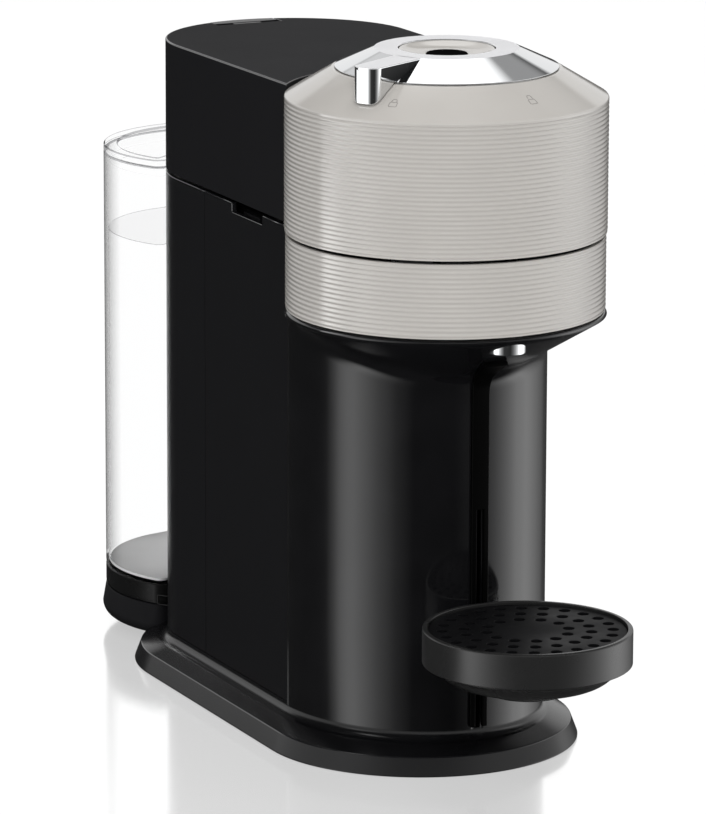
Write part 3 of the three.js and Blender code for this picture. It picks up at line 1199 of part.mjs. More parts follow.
/** Lever ring: a coned ring on a skirt, and a flush arm that ends in an upright finger. */
function leverRing() {
  const top = LEVER_TOP_Z;
  const thick = LEVER_THICKNESS;
  const skirtInner = LEVER_SKIRT_RADIUS - LEVER_SKIRT_WALL;
  const ring = revolve([
    [LEVER_RADIUS, LEVER_RIM_Z],
    [LEVER_TOP_RADIUS, top],
    [LEVER_BORE_RADIUS, top],
    [LEVER_BORE_RADIUS, top - thick],
    [LEVER_TOP_RADIUS, top - thick],
    [skirtInner, LEVER_RIM_Z - GAP],
    [skirtInner, LEVER_SKIRT_BOTTOM_Z],
    [LEVER_SKIRT_RADIUS, LEVER_SKIRT_BOTTOM_Z],
    [LEVER_SKIRT_RADIUS, LEVER_RIM_Z],
  ]);
  const cornerSteps = 5;
  const arm = prism(leverArmShape(), top - LEVER_FINGER_HEIGHT, top, cornerSteps)
    .subtract(post(LEVER_TOP_RADIUS - thick, 0, top + BEYOND))
    .rotate([0, 0, LEVER_ANGLE])
    .subtract(drumEnvelope(GAP));
  return ring.add(arm);
}

/** Dished disc in the lever's middle, with the well that holds the button and its spring. */
function leverDisc() {
  const rim = LEVER_BORE_RADIUS - GAP;
  const bore = BUTTON_RADIUS + GAP;
  const wellOuter = bore + BUTTON_WELL_WALL;
  const bend = rim - LEVER_DISC_BEND;
  const thick = LEVER_DISC_THICKNESS;
  const bendDrop = 0.3 * LEVER_DISC_DEPTH;
  return revolve([
    [0, WELL_BOTTOM_Z],
    [wellOuter, WELL_BOTTOM_Z],
    [wellOuter, DISC_LOW_Z - thick],
    [bend, DISC_TOP_Z - bendDrop - thick],
    [rim, DISC_TOP_Z - thick],
    [rim, DISC_TOP_Z],
    [bend, DISC_TOP_Z - bendDrop],
    [bore, DISC_LOW_Z],
    [bore, WELL_FLOOR_Z],
    [0, WELL_FLOOR_Z],
  ], INNER);
}

/** Round button with a bevelled edge and a guide stem. */
function brewButton() {
  const stemBottom = WELL_FLOOR_Z + BUTTON_TRAVEL + GAP;
  return revolve([
    [0, stemBottom],
    [BUTTON_STEM_RADIUS, stemBottom],
    [BUTTON_STEM_RADIUS, BUTTON_BOTTOM_Z],
    [BUTTON_RADIUS, BUTTON_BOTTOM_Z],
    [BUTTON_RADIUS, BUTTON_TOP_Z - BUTTON_EDGE],
    [BUTTON_RADIUS - BUTTON_EDGE, BUTTON_TOP_Z],
    [0, BUTTON_TOP_Z],
  ], MEDIUM);
}

/** Centre line of the button's spring, from the well's floor to the button. */
class SpringHelix extends THREE.Curve {
  getPoint(t) {
    const bottom = WELL_FLOOR_Z + SPRING_WIRE_RADIUS + GAP;
    const top = BUTTON_BOTTOM_Z - SPRING_WIRE_RADIUS - GAP;
    const angle = t * SPRING_TURNS * 2 * Math.PI;
    const z = bottom + (top - bottom) * t;
    return new THREE.Vector3(SPRING_RADIUS * Math.cos(angle), SPRING_RADIUS * Math.sin(angle), z);
  }
}

function buttonSpring() {
  const sides = 5;
  const stepsPerTurn = 10;
  const wire = SPRING_WIRE_RADIUS;
  const section = new THREE.Shape(arc(0, 0, wire, wire, 0, ((sides - 1) / sides) * 2 * Math.PI, sides - 1));
  const settings = { steps: SPRING_TURNS * stepsPerTurn, extrudePath: new SpringHelix() };
  return solid(new THREE.ExtrudeGeometry(section, settings));
}

add("lever_ring", leverRing(), CHROME);
add("lever_disc", leverDisc(), BEIGE);
add("brew_button", brewButton(), BLACK_GLOSS);
add("button_spring", buttonSpring(), STEEL);

// ---------------------------------------------------------------- cup support

/** Cup support: a ring wall with a ledge for the grid and a hooked tongue at the back. */
function cupSupport() {
  const r = SUPPORT_RADIUS;
  const rim = SUPPORT_RIM_Z;
  const inner = r - SUPPORT_WALL;
  const ledgeInner = inner - SUPPORT_LEDGE_WIDTH;
  const wallBottom = rim - SUPPORT_WALL_HEIGHT;
  const wall = revolve([
    [ledgeInner, wallBottom],
    [r, wallBottom],
    [r, rim - SUPPORT_RIM_EDGE],
    [r - SUPPORT_RIM_EDGE, rim],
    [inner, rim],
    [inner, SUPPORT_LEDGE_Z],
    [ledgeInner, SUPPORT_LEDGE_Z],
  ]).translate([0, SUPPORT_CENTRE_Y, 0]);
  const hollow = post(inner, 0, rim + BEYOND, 0, SUPPORT_CENTRE_Y, FINE);
  const railFront = COLUMN_FRONT_Y - RAIL_PROUD - RUNNING_GAP;
  const neck = slab(SUPPORT_NECK_HALF_WIDTH, SUPPORT_CENTRE_Y + r - SUPPORT_NECK_ROOT,
    wallBottom, railFront, SUPPORT_LEDGE_Z);
  const tongueBottom = SUPPORT_LEDGE_Z - SUPPORT_TONGUE_HEIGHT;
  const hookFront = COLUMN_FRONT_Y + BODY_WALL + 2 * RUNNING_GAP;
  const tongue = slab(SUPPORT_TONGUE_HALF_WIDTH, railFront - BEYOND, tongueBottom,
    hookFront + BEYOND, SUPPORT_LEDGE_Z);
  const hook = slab(SUPPORT_HOOK_HALF_WIDTH, hookFront, tongueBottom,
    hookFront + SUPPORT_HOOK_THICKNESS, SUPPORT_LEDGE_Z);
  return wall.add(neck.subtract(hollow)).add(tongue).add(hook);
}

/** The rounded dish under the support wall, which catches the drips. */
function supportBowl() {
  const r = SUPPORT_RADIUS;
  const wall = SUPPORT_WALL;
  const top = SUPPORT_RIM_Z - SUPPORT_WALL_HEIGHT - GAP;
  const bottom = top - SUPPORT_DISH_DEPTH;
  const bowl = [[0.5, 0.06], [0.8, 0.32], [0.95, 0.7]] // shares of the radius and of the dish's depth
    .map(([across, up]) => [across * r, bottom + up * SUPPORT_DISH_DEPTH]);
  const lining = bowl.slice(0, 2).map(([radius, z]) => [radius - SUPPORT_LEDGE_WIDTH, z + wall]);
  return revolve([
    [0, bottom],
    ...bowl,
    [r, top],
    [r - wall - SUPPORT_LEDGE_WIDTH, top],
    ...lining.reverse(),
    [0, bottom + wall],
  ]).translate([0, SUPPORT_CENTRE_Y, 0]);
}

/** Drip grid: a disc with rings of round holes. */
function dripGrid() {
  const bottom = SUPPORT_LEDGE_Z + GAP;
  const top = bottom + GRID_THICKNESS;
  const radius = SUPPORT_RADIUS - SUPPORT_WALL - GAP;
  const hole = post(GRID_HOLE_RADIUS, bottom - BEYOND, top + BEYOND, 0, 0, HOLE);
  let made = post(radius, bottom, top, 0, 0, FINE);
  for (let ring = 0; ring < GRID_RING_COUNT; ring++) {
    const across = radius - GRID_BORDER - ring * GRID_RING_PITCH;
    const count = Math.round((2 * Math.PI * across) / GRID_HOLE_PITCH);
    for (let i = 0; i < count; i++) {
      const angle = (i / count) * 2 * Math.PI;
      made = made.subtract(hole.translate([across * Math.cos(angle), across * Math.sin(angle), 0]));
    }
  }
  return made.translate([0, SUPPORT_CENTRE_Y, 0]);
}

add("cup_support", cupSupport(), DARK_GREY);
add("support_bowl", supportBowl(), DARK_GREY);
add("drip_grid", dripGrid(), BLACK_SATIN);

// ---------------------------------------------------------------- water tank

function waterTank() {
  return tankPrism(0, TANK_FLOOR_Z - TANK_FLOOR_THICKNESS, TANK_TOP_Z)
    .subtract(tankPrism(TANK_WALL, TANK_FLOOR_Z, TANK_TOP_Z + BEYOND))
    .subtract(post(VALVE_BODY_RADIUS + GAP, 0, TANK_FLOOR_Z + BEYOND, 0, VALVE_Y, SMALL));
}

/** Lid: a plate with a shallow recess and a skirt that drops into the tank. */
function tankLid() {
  const bottom = TANK_TOP_Z + GAP;
  const top = bottom + TANK_LID_THICKNESS;
  const skirtBottom = bottom - TANK_LID_SKIRT;
  const skirtOut = TANK_WALL + RUNNING_GAP;
  const skirt = tankPrism(skirtOut, skirtBottom, bottom + GAP)
    .subtract(tankPrism(skirtOut + TANK_LID_SKIRT_WALL, skirtBottom - BEYOND, bottom + BEYOND));
  const recessRadius = TANK_RADIUS - TANK_LID_BORDER;
  const bodySide = BODY_HALF_WIDTH + TANK_BODY_GAP + TANK_LID_BORDER;
  const recess = post(recessRadius, top - TANK_LID_RECESS, top + BEYOND, 0, TANK_CENTRE_Y, INNER)
    .subtract(post(bodySide, 0, top + 2 * BEYOND, 0, BODY_REAR_CENTRE_Y, INNER));
  return tankPrism(0, bottom, top).subtract(recess).add(skirt);
}

function tankCollar() {
  return tankPrism(0, COLLAR_BOTTOM_Z, COLLAR_TOP_Z)
    .subtract(post(VALVE_RADIUS + GAP, 0, COLLAR_TOP_Z + BEYOND, 0, VALVE_Y, SMALL));
}

/** Valve body that hangs from the tank's floor into the collar. */
function tankValve() {
  const bore = NIPPLE_RADIUS + RUNNING_GAP;
  const seat = COLLAR_TOP_Z + GAP;
  const top = TANK_FLOOR_Z + VALVE_HEAD_HEIGHT;
  return revolve([
    [bore, COLLAR_BOTTOM_Z],
    [VALVE_RADIUS, COLLAR_BOTTOM_Z],
    [VALVE_RADIUS, seat],
    [VALVE_BODY_RADIUS, seat],
    [VALVE_BODY_RADIUS, top],
    [0, top],
    [0, COLLAR_TOP_Z],
    [bore, COLLAR_TOP_Z],
  ], SMALL).translate([0, VALVE_Y, 0]);
}

/** Dock: carries the tank behind the base and opens its valve with a nipple. */
function tankDock() {
  const round = DOCK_BOTTOM_ROUND;
  const bend = 0.3; // where the rounded bottom edge bends, as a share of its size
  const ring = (inset, z) => ringAt(tankOutline(inset), z);
  const shell = loft([
    ring(round - DOCK_FLARE - BEYOND, DOCK_BOTTOM_Z),
    ring(round * bend - DOCK_FLARE, DOCK_BOTTOM_Z + round * bend),
    ring(-DOCK_FLARE, DOCK_BOTTOM_Z + round),
    ring(0, DOCK_TOP_Z),
  ]);
  const nipple = post(NIPPLE_RADIUS, DOCK_TOP_Z - BEYOND, DOCK_TOP_Z + NIPPLE_HEIGHT, 0, VALVE_Y, SMALL);
  const base = loft([
    ringAt(baseOutline(BASE_HALF_WIDTH + GAP), -BEYOND),
    ringAt(baseOutline(BASE_HALF_WIDTH + GAP), BASE_BOTTOM_Z),
    ringAt(baseOutline(BASE_EDGE_HALF_WIDTH + GAP), BASE_EDGE_Z + GAP),
    ringAt(bodyOutline(BASE_FILLET + GAP), BASE_COLLAR_TOP_Z),
  ]);
  return shell.add(nipple).subtract(base);
}

add("water_tank", waterTank(), CLEAR);
add("tank_lid", tankLid(), CLEAR);
add("tank_collar", tankCollar(), BLACK_GLOSS);
add("tank_valve", tankValve(), WHITE_PLASTIC);
add("tank_dock", tankDock(), BLACK_SATIN);

export default machine;
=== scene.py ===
"""Looks of the pod coffee machine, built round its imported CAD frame."""
import json
import math

import bmesh
import bpy
import numpy as np
from bpy.props import FloatProperty, FloatVectorProperty, PointerProperty
from bpy.types import Operator, Panel, PropertyGroup
from mathutils import Matrix, Vector


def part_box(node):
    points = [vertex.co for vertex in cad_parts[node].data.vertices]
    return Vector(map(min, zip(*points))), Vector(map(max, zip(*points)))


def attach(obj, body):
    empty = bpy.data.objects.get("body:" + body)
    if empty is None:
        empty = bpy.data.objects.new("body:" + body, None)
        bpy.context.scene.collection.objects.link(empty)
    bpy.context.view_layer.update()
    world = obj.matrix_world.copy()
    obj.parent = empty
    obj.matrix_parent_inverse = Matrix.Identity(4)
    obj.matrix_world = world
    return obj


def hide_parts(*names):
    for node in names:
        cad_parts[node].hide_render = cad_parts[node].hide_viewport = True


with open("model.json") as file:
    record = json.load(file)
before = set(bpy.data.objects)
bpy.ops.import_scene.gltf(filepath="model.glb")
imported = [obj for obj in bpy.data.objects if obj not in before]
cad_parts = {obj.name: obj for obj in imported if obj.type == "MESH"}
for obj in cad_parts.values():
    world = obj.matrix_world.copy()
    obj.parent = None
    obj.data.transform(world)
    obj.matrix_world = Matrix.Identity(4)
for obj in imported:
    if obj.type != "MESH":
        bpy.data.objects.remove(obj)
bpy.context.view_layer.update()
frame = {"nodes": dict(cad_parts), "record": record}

bl_info = {
    "name": "Pod Coffee Machine",
    "version": (1, 0, 0),
    "blender": (4, 5, 0),
    "location": "3D View > Sidebar > Coffee Machine",
    "description": "Finished shells, lever, cup support and water tank of a pod coffee machine",
    "category": "Add Mesh",
}

MM = 0.001
TAU = 2 * math.pi


def span(node):
    """Lowest and highest corner of a CAD node in millimetres, with y counted from the drum's axis."""
    low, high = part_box(node)
    shift = np.array([0, AXIS_Y, 0])
    return (np.array(low) - shift) / MM, (np.array(high) - shift) / MM


AXIS_Y = sum(corner[1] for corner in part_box("upper_drum")) / 2

# ------------------------------------------------------------------ sizes, in millimetres
GAP = 0.3  # between pieces that seat on each other
RUNNING_GAP = 0.4  # beside what turns, slides or lifts, and between outer panels

# How finished pieces differ from their solids
DRUM_TOP_DROP = 0.6
COVER_LEVEL_Y = 60.0  # the cover's top falls by COVER_FALL a millimetre behind this place
COVER_FALL = 0.0125
COVER_FALL_DEPTH = 12.0  # height down the cover's sides over which the fall fades out
BASE_SPREAD = 0.7
BASE_DROP = 0.5
BASE_REAR_SHIFT = 3.0
LEVER_LIFT = 1.2
BUTTON_LIFT = 1.7
OUTLET_LIFT = 3.0
BOWL_DROP = 3.0
TANK_SHRINK = 2.0
KNUCKLE_SHRINK = 1.2

DRUM_LOW, DRUM_HIGH = span("upper_drum")
DRUM_RADIUS = DRUM_HIGH[0]
DRUM_BOTTOM = DRUM_LOW[2]
DRUM_TOP = DRUM_HIGH[2] - DRUM_TOP_DROP
DRUM_WALL = 2.5
DRUM_EDGE = 0.7  # plain height under the lowest rib
DRUM_OPENING = 47.0
SHOULDER_HEIGHT = 13.0
SHOULDER_Z = DRUM_HIGH[2] - SHOULDER_HEIGHT
SHOULDER_TOP_RADIUS = 50.3
SHOULDER_SLOPE = (DRUM_TOP - SHOULDER_Z) / (DRUM_RADIUS - SHOULDER_TOP_RADIUS)
SHOULDER_PLAIN = 1.6  # plain height between the ribs and the shoulder
SHOULDER_FOLD = 0.6  # drop of the shoulder's inner fold, as a share of the wall
RIB_RUNOUT = 0.2  # height over which the last groove comes out to the wall

LOWER_LOW, LOWER_HIGH = span("lower_drum")
LOWER_RADIUS = LOWER_HIGH[0]
LOWER_BOTTOM = LOWER_LOW[2]
LOWER_TOP = LOWER_HIGH[2]
LOWER_EDGE = 0.5  # plain height above and below the ribs
LOWER_FLANGE = LOWER_RADIUS - 7.3
LOWER_FLANGE_THICKNESS = 2.0

COVER_LOW, COVER_HIGH = span("rear_top_cover")
HALF_WIDTH = COVER_HIGH[0]
BODY_REAR = span("rear_shell")[1][1]
REAR_CENTRE = BODY_REAR - HALF_WIDTH
COVER_TOP = COVER_HIGH[2]
COVER_BOTTOM = COVER_LOW[2]
COVER_EDGE = 1.5
COVER_LIP = 6.0  # how far the top reaches over the hinge bracket's knuckle
COVER_LIP_THICKNESS = 0.75
BODY_WALL = 2.5
COLUMN_CENTRE = 40.0
COLUMN_DEPTH = 72.0
COLUMN_FRONT = COLUMN_CENTRE - COLUMN_DEPTH

PANEL_LOW, PANEL_HIGH = span("side_panel_right")
PANEL_FRONT = PANEL_LOW[1]
PANEL_REAR = PANEL_HIGH[1]
PANEL_BOTTOM = PANEL_LOW[2]
PANEL_TOP = PANEL_HIGH[2]
NOTCH_FRONT = 68.0
NOTCH_REAR = 101.0
NOTCH_DEPTH = 4.2
ROUNDED_BAND = 0.5  # edges within this height of a panel's top or notch are rounded

FLARE_RADIUS = 69.8
FLARE_TOP = span("column_shell")[1][2]
FLARE_SLOPE = 0.6
FLARE_FILLET = 9.0
FLARE_FILLET_SHARE = 0.8  # the fillet takes up no more than this share of the flare
COLUMN_MIDDLE = 60.0  # a row of points half way up the slot
SLOT_HALF_WIDTH = 1.6
SLOT_BORDER = 2.8
SLOT_TOP = 117.6
RAIL_LOW, RAIL_HIGH = span("support_rail")
RAIL_HALF_WIDTH = RAIL_HIGH[0]
RAIL_PROUD = 2.5

BASE_LOW, BASE_HIGH = span("base_shell")
BASE_HALF_WIDTH = BASE_HIGH[0] + BASE_SPREAD
BASE_FRONT_CENTRE = BASE_LOW[1] + BASE_HIGH[0]
BASE_REAR_CENTRE = REAR_CENTRE + BASE_REAR_SHIFT
BASE_BOTTOM = BASE_LOW[2] - BASE_DROP
BASE_TOP = BASE_HIGH[2]
BASE_EDGE_INSET = 3.2
BASE_EDGE_Z = 8.7
BASE_FILLET = 5.0
BASE_REACH = BASE_HALF_WIDTH - BASE_EDGE_INSET - HALF_WIDTH  # from the base's upper edge to the body
BASE_DECK = BASE_REACH - BASE_FILLET
BASE_FLOOR = 9.0
BASE_CEILING = 6.0
BASE_WALL = 4.5
BASE_RIM = 1.5

SUPPORT_LOW, SUPPORT_HIGH = span("cup_support")
SUPPORT_RADIUS = SUPPORT_HIGH[0]
SUPPORT_CENTRE = SUPPORT_LOW[1] + SUPPORT_RADIUS
SUPPORT_RIM = SUPPORT_HIGH[2]
SUPPORT_WALL_HEIGHT = 15.6
SUPPORT_WALL = 2.3
SUPPORT_LEDGE_WIDTH = 1.4
SUPPORT_LEDGE_DEPTH = 4.4
NECK_HALF_WIDTH = 9.0
NECK_ROOT = 2.2  # how far the neck reaches into the support's wall
TONGUE_HALF_WIDTH = 1.2
TONGUE_HEIGHT = 12.0
HOOK_HALF_WIDTH = 5.0
HOOK_THICKNESS = 2.6
HOOK_REACH = 5.9  # from the column's front to the hook's far side
HOOK_OVERLAP = 1.0  # how far neck, tongue and hook run into each other
GRID_LOW, GRID_HIGH = span("drip_grid")
GRID_HOLE_RADIUS = 2.5
GRID_HOLE_EDGE = 0.3
GRID_CIRCLES = ((37.1, 24), (27.6, 18), (18.1, 12))  # radius of a circle of holes, and how many

TANK_LOW, TANK_HIGH = span("water_tank")
TANK_CENTRE = TANK_HIGH[1] - TANK_HIGH[0]
TANK_RADIUS = TANK_HIGH[0] - TANK_SHRINK
TANK_FRONT_RADIUS = HALF_WIDTH + 4.5
TANK_HORN = 6.0
TANK_WALL = 2.0
TANK_FLOOR = TANK_LOW[2] + 2.0
LID_BORDER = 6.5
LID_RECESS = 1.2
LID_HORN = 1.6
DOCK_TOP = span("tank_collar")[0][2] - GAP
DOCK_FLARE = 1.6
DOCK_ROUNDING = 6.0

LEVER_HIGH = span("lever_ring")[1]
LEVER_TOP = LEVER_HIGH[2] + LEVER_LIFT
LEVER_RIM = LEVER_HIGH[2] - 7.1
LEVER_RADIUS = 50.0
LEVER_TOP_RADIUS = 31.7
LEVER_BORE = 21.3
LEVER_PLATE = 3.0
LEVER_SKIRT_RADIUS = 46.4
LEVER_SKIRT_WALL = 2.4
LEVER_SKIRT_HEIGHT = 9.3
LEVER_ANGLE = math.radians(210.3)
LEVER_REACH = 64.8
LEVER_ROOT_WIDTH = 14.6
LEVER_FINGER_WIDTH = 12.6
LEVER_FINGER_CORNER = 4.6
LEVER_FINGER_BOTTOM = LEVER_HIGH[2] - 15.1
ARM_SIDE_GAP = 0.35  # between the drum's shoulder and the arm's sides
ARM_SOLE_GAP = 0.45  # and its underside
DISH_BORE = 9.3
DISH_DEPTH = 2.4
DISH_WALL = 2.6
DISH_BOSS = 11.7

LOCK_SIGNS = ((222.0, 60.8, 0.0), (281.0, 60.5, 0.7))  # direction, distance, lift of the shackle
LOCK_LINE = 0.32
LOCK_PROUD = 0.05
BAND_SIGN = 215.6  # direction of the thin frame on the tank's band
BAND_SIGN_HALF_WIDTH = 3.2
BAND_SIGN_HEIGHTS = (20.7, 25.1)
BAND_SIGN_LINE = 0.35
BAND_SIGN_PROUD = 0.15

HINGE_Y = 210.5
HINGE_Z = 291.5
BRACKET_HALF_WIDTH = 16.0
BRACKET_KNUCKLE = 5.5
BRACKET_KNUCKLE_HALF_WIDTH = 7.0
BRACKET_BAY = 2.0  # room in front of the knuckle in the cover's cut-out
BRACKET_FRONT = HINGE_Y + 2.9
BRACKET_ROOT = 8.0  # how far the bracket's foot reaches forward under the deck
DECK_TOP = LOWER_TOP - 2.3
DECK_THICKNESS = 3.0


def shoulder_height(radius):
    """Height of the drum's top at a radius r: top - slope * (r - R) beyond the flat, whose radius is R."""
    return DRUM_TOP - np.maximum(0, radius - SHOULDER_TOP_RADIUS) * SHOULDER_SLOPE


# ------------------------------------------------------------------ surfaces
def soften(corners, radii, closed=True, steps=6):
    """Rounds the corners of a flat line: each corner becomes an arc of its radius, tangent to both sides.

    The arc runs from r tan(turn / 2) before the corner to as much after it, in equal angles.
    """
    corners = np.asarray(corners, float)
    count = len(corners)
    radii = np.broadcast_to(radii, count)
    out = []
    for k in range(count):
        here = corners[k]
        end = not closed and k in (0, count - 1)
        if end or radii[k] <= 0:
            out.append(here[None])
            continue
        before, after = corners[k - 1] - here, corners[(k + 1) % count] - here
        long_before, long_after = np.linalg.norm(before), np.linalg.norm(after)
        before, after = before / long_before, after / long_after
        turn = math.pi - math.acos(np.clip(before @ after, -1, 1))
        if turn < 1e-3:
            out.append(here[None])
            continue
        reach = min(radii[k] * math.tan(turn / 2), 0.49 * min(long_before, long_after))
        radius = reach / math.tan(turn / 2)
        centre = here + (before + after) / np.linalg.norm(before + after) * radius / math.cos(turn / 2)
        start, stop = here + before * reach - centre, here + after * reach - centre
        share = np.linspace(0, 1, steps + 1)[:, None]
        bend = np.sin((1 - share) * turn) * start + np.sin(share * turn) * stop
        out.append(centre + bend / math.sin(turn))
    return np.concatenate(out)


def sheet(points, wrap_rows=False, wrap_columns=True, skip=None):
    """Quads over a grid of points (rows, columns, 3), with the cells marked in skip left open."""
    rows, columns = points.shape[:2]
    i = np.arange(rows if wrap_rows else rows - 1)[:, None]
    j = np.arange(columns if wrap_columns else columns - 1)[None, :]
    i2, j2 = (i + 1) % rows, (j + 1) % columns
    quads = np.stack([i * columns + j, i2 * columns + j, i2 * columns + j2, i * columns + j2], -1)
    keep = np.ones(quads.shape[:2], bool) if skip is None else ~skip
    return points.reshape(-1, 3), quads[keep].tolist()


def cap(ring):
    """One flat face over a closed ring of points."""
    return ring, [list(range(len(ring)))]


def solid(rings):
    """Closed part from rings of points: the sheet between them and a cap on the first and the last."""
    return [sheet(rings), cap(rings[0]), cap(rings[-1])]


def lathe(profile, centre=(0, 0), steps=128):
    """Turned surface: x = r cos a, y = r sin a, z along a (r, z) profile, for a from 0 to a full turn."""
    angle = np.arange(steps) * TAU / steps
    radius, height = np.asarray(profile, float).T
    x = centre[0] + radius[:, None] * np.cos(angle)
    y = centre[1] + radius[:, None] * np.sin(angle)
    return np.stack([x, y, np.broadcast_to(height[:, None], x.shape)], -1)


def turned(profile, centre=(0, 0), steps=128, closed=True):
    """The quads of a turned surface; a closed profile makes a ring-shaped body."""
    return sheet(lathe(profile, centre, steps), wrap_rows=closed)


def carried(outline, profile):
    """A profile carried along an outline: profile point (inset, z) gives one ring, outline(inset) at z."""
    rings = []
    for inset, height in profile:
        flat = outline(inset)
        rings.append(np.column_stack([flat, np.full(len(flat), height)]))
    return np.stack(rings)


def prism(flat, bottom, top):
    """Closed part from a flat outline, between two heights."""
    return solid(carried(lambda inset: flat, [(0, bottom), (0, top)]))


def block(low, high):
    """Box between two corners."""
    flat = np.array([(low[0], low[1]), (high[0], low[1]), (high[0], high[1]), (low[0], high[1])])
    return prism(flat, low[2], high[2])


def arc(centre_y, radius_x, radius_y, start, stop, steps, centre_x=0.0):
    """Points (cx + rx cos a, cy + ry sin a) for a from start to stop."""
    angle = np.linspace(start, stop, steps + 1)
    return np.column_stack([centre_x + radius_x * np.cos(angle), centre_y + radius_y * np.sin(angle)])


def straight(start, stop, steps):
    """Evenly spaced points between two, without the ends."""
    share = np.linspace(0, 1, steps + 2)[1:-1, None]
    return np.asarray(start) * (1 - share) + np.asarray(stop) * share


def closed_round(rear, front):
    """Closed outline from a rear and a front arc, with straight sides between them."""
    return np.concatenate([rear, straight(rear[-1], front[0], 6), front, straight(front[-1], rear[0], 6)])


def body_outline(inset, steps=56):
    """Body seen from above: half circle at the rear, straight sides, half ellipse in front."""
    half = HALF_WIDTH - inset
    return closed_round(arc(REAR_CENTRE, half, half, 0, math.pi, steps),
                        arc(COLUMN_CENTRE, half, COLUMN_DEPTH - inset, math.pi, TAU, steps))


def base_outline(inset, steps=56):
    """Base seen from above, inset from its lower edge: two half circles and straight sides."""
    half = BASE_HALF_WIDTH - inset
    return closed_round(arc(BASE_REAR_CENTRE, half, half, 0, math.pi, steps),
                        arc(BASE_FRONT_CENTRE, half, half, math.pi, TAU, steps))


def crescent(rear_radius, front_radius, horn, steps=(72, 40, 10)):
    """Tank seen from above: a rear circle, a front circle round the body, and rounded horns between them.

    A horn's centre is horn inside the rear circle and horn outside the front one.
    """
    setback = TANK_CENTRE - REAR_CENTRE
    outer, inner = rear_radius - horn, front_radius + horn
    along = (inner**2 - outer**2 + setback**2) / (2 * setback)
    horn_x = math.sqrt(inner**2 - along**2)
    horn_y = REAR_CENTRE + along
    on_tank = math.atan2(horn_y - TANK_CENTRE, horn_x)
    on_body = math.atan2(along, horn_x)
    rear_steps, front_steps, horn_steps = steps
    return np.concatenate([
        arc(TANK_CENTRE, rear_radius, rear_radius, on_tank, math.pi - on_tank, rear_steps),
        arc(horn_y, horn, horn, math.pi - on_tank, TAU - on_body, horn_steps, -horn_x)[1:],
        arc(REAR_CENTRE, front_radius, front_radius, math.pi - on_body, on_body, front_steps)[1:],
        arc(horn_y, horn, horn, math.pi + on_body, TAU + on_tank, horn_steps, horn_x)[1:-1],
    ])


def tank_outline(inset):
    """The tank's outline, its horns' centres staying where they are as the wall goes in."""
    return crescent(TANK_RADIUS - inset, TANK_FRONT_RADIUS + inset, TANK_HORN - inset)


# ------------------------------------------------------------------ meshes
def make_mesh(name, parts, sharp, outward):
    """One mesh from parts of (points, faces) in millimetres from the drum's axis."""
    points, faces, first = [], [], 0
    for part_points, part_faces in parts:
        points.append(np.asarray(part_points, float).reshape(-1, 3))
        faces += [[first + corner for corner in face] for face in part_faces]
        first += len(points[-1])
    place = np.concatenate(points) * MM + np.array([0, AXIS_Y, 0])
    mesh = bpy.data.meshes.new(name)
    mesh.from_pydata(place.tolist(), [], faces)
    work = bmesh.new()
    work.from_mesh(mesh)
    bmesh.ops.remove_doubles(work, verts=work.verts, dist=1e-6)
    bmesh.ops.dissolve_degenerate(work, edges=work.edges, dist=1e-7)
    if outward:
        bmesh.ops.recalc_face_normals(work, faces=work.faces)
    work.to_mesh(mesh)
    work.free()
    mesh.shade_smooth()
    mesh.set_sharp_from_angle(angle=math.radians(sharp))
    mesh.update()
    return mesh


def add_piece(name, parts, body, finishes, stands_for=(), sharp=35.0, outward=True):
    """Puts a piece made of parts on its body, with its finishes and the CAD nodes it stands for."""
    mesh = make_mesh(name, parts, sharp, outward)
    piece = bpy.data.objects.new(name, mesh)
    bpy.context.scene.collection.objects.link(piece)
    for finish in finishes:
        mesh.materials.append(material(finish))
    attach(piece, body)
    if stands_for:
        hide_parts(*stands_for)
    return piece


def faces_of(piece):
    """Middle of each face, in millimetres from the drum's axis, and its normal."""
    faces = piece.data.polygons
    middles, normals = np.empty((2, 3 * len(faces)), np.float32)
    faces.foreach_get("center", middles)
    faces.foreach_get("normal", normals)
    return middles.reshape(-1, 3) / MM - (0, AXIS_Y / MM, 0), normals.reshape(-1, 3)


def finish_faces(piece, numbers):
    """Gives each face the material with its number."""
    piece.data.polygons.foreach_set("material_index", numbers.astype(np.int32))


def weigh_normals(piece):
    """Lets wide faces set the shading beside small rounded edges."""
    modifier = piece.modifiers.new("Even shading", "WEIGHTED_NORMAL")
    modifier.keep_sharp = True
    modifier.weight = 80


def weigh_edges(piece, level):
    """Marks the sharp edges above a level for rounding; the seams below it stay sharp."""
    mesh = piece.data
    ends = np.empty(2 * len(mesh.edges), dtype=np.int32)
    mesh.edges.foreach_get("vertices", ends)
    places = np.empty(3 * len(mesh.vertices))
    mesh.vertices.foreach_get("co", places)
    sharp = np.empty(len(mesh.edges), dtype=bool)
    mesh.edges.foreach_get("use_edge_sharp", sharp)
    high = (places[2::3] > level * MM)[ends.reshape(-1, 2)].all(1)
    attribute = mesh.attributes.new("bevel_weight_edge", "FLOAT", "EDGE")
    attribute.data.foreach_set("value", (sharp & high).astype(np.float32))


def round_edges(piece, width, angle=40.0, segments=3, weighed=False):
    """Rounds every edge sharper than the angle, or by its own weight where it has one."""
    modifier = piece.modifiers.new("Rounded edges", "BEVEL")
    modifier.width = width * MM
    modifier.segments = segments
    modifier.limit_method = "WEIGHT" if weighed else "ANGLE"
    modifier.material = len(piece.data.materials) - 1
    modifier.angle_limit = math.radians(angle)
    modifier.harden_normals = True


def thicken(piece, thickness):
    """Gives a skin its wall, inwards."""
    modifier = piece.modifiers.new("Wall", "SOLIDIFY")
    modifier.thickness = thickness * MM
    modifier.offset = -1
    modifier.use_even_offset = True


# ------------------------------------------------------------------ materials
def link(tree, source, target):
    """Joins an output socket to an input socket."""
    tree.links.new(source, target)


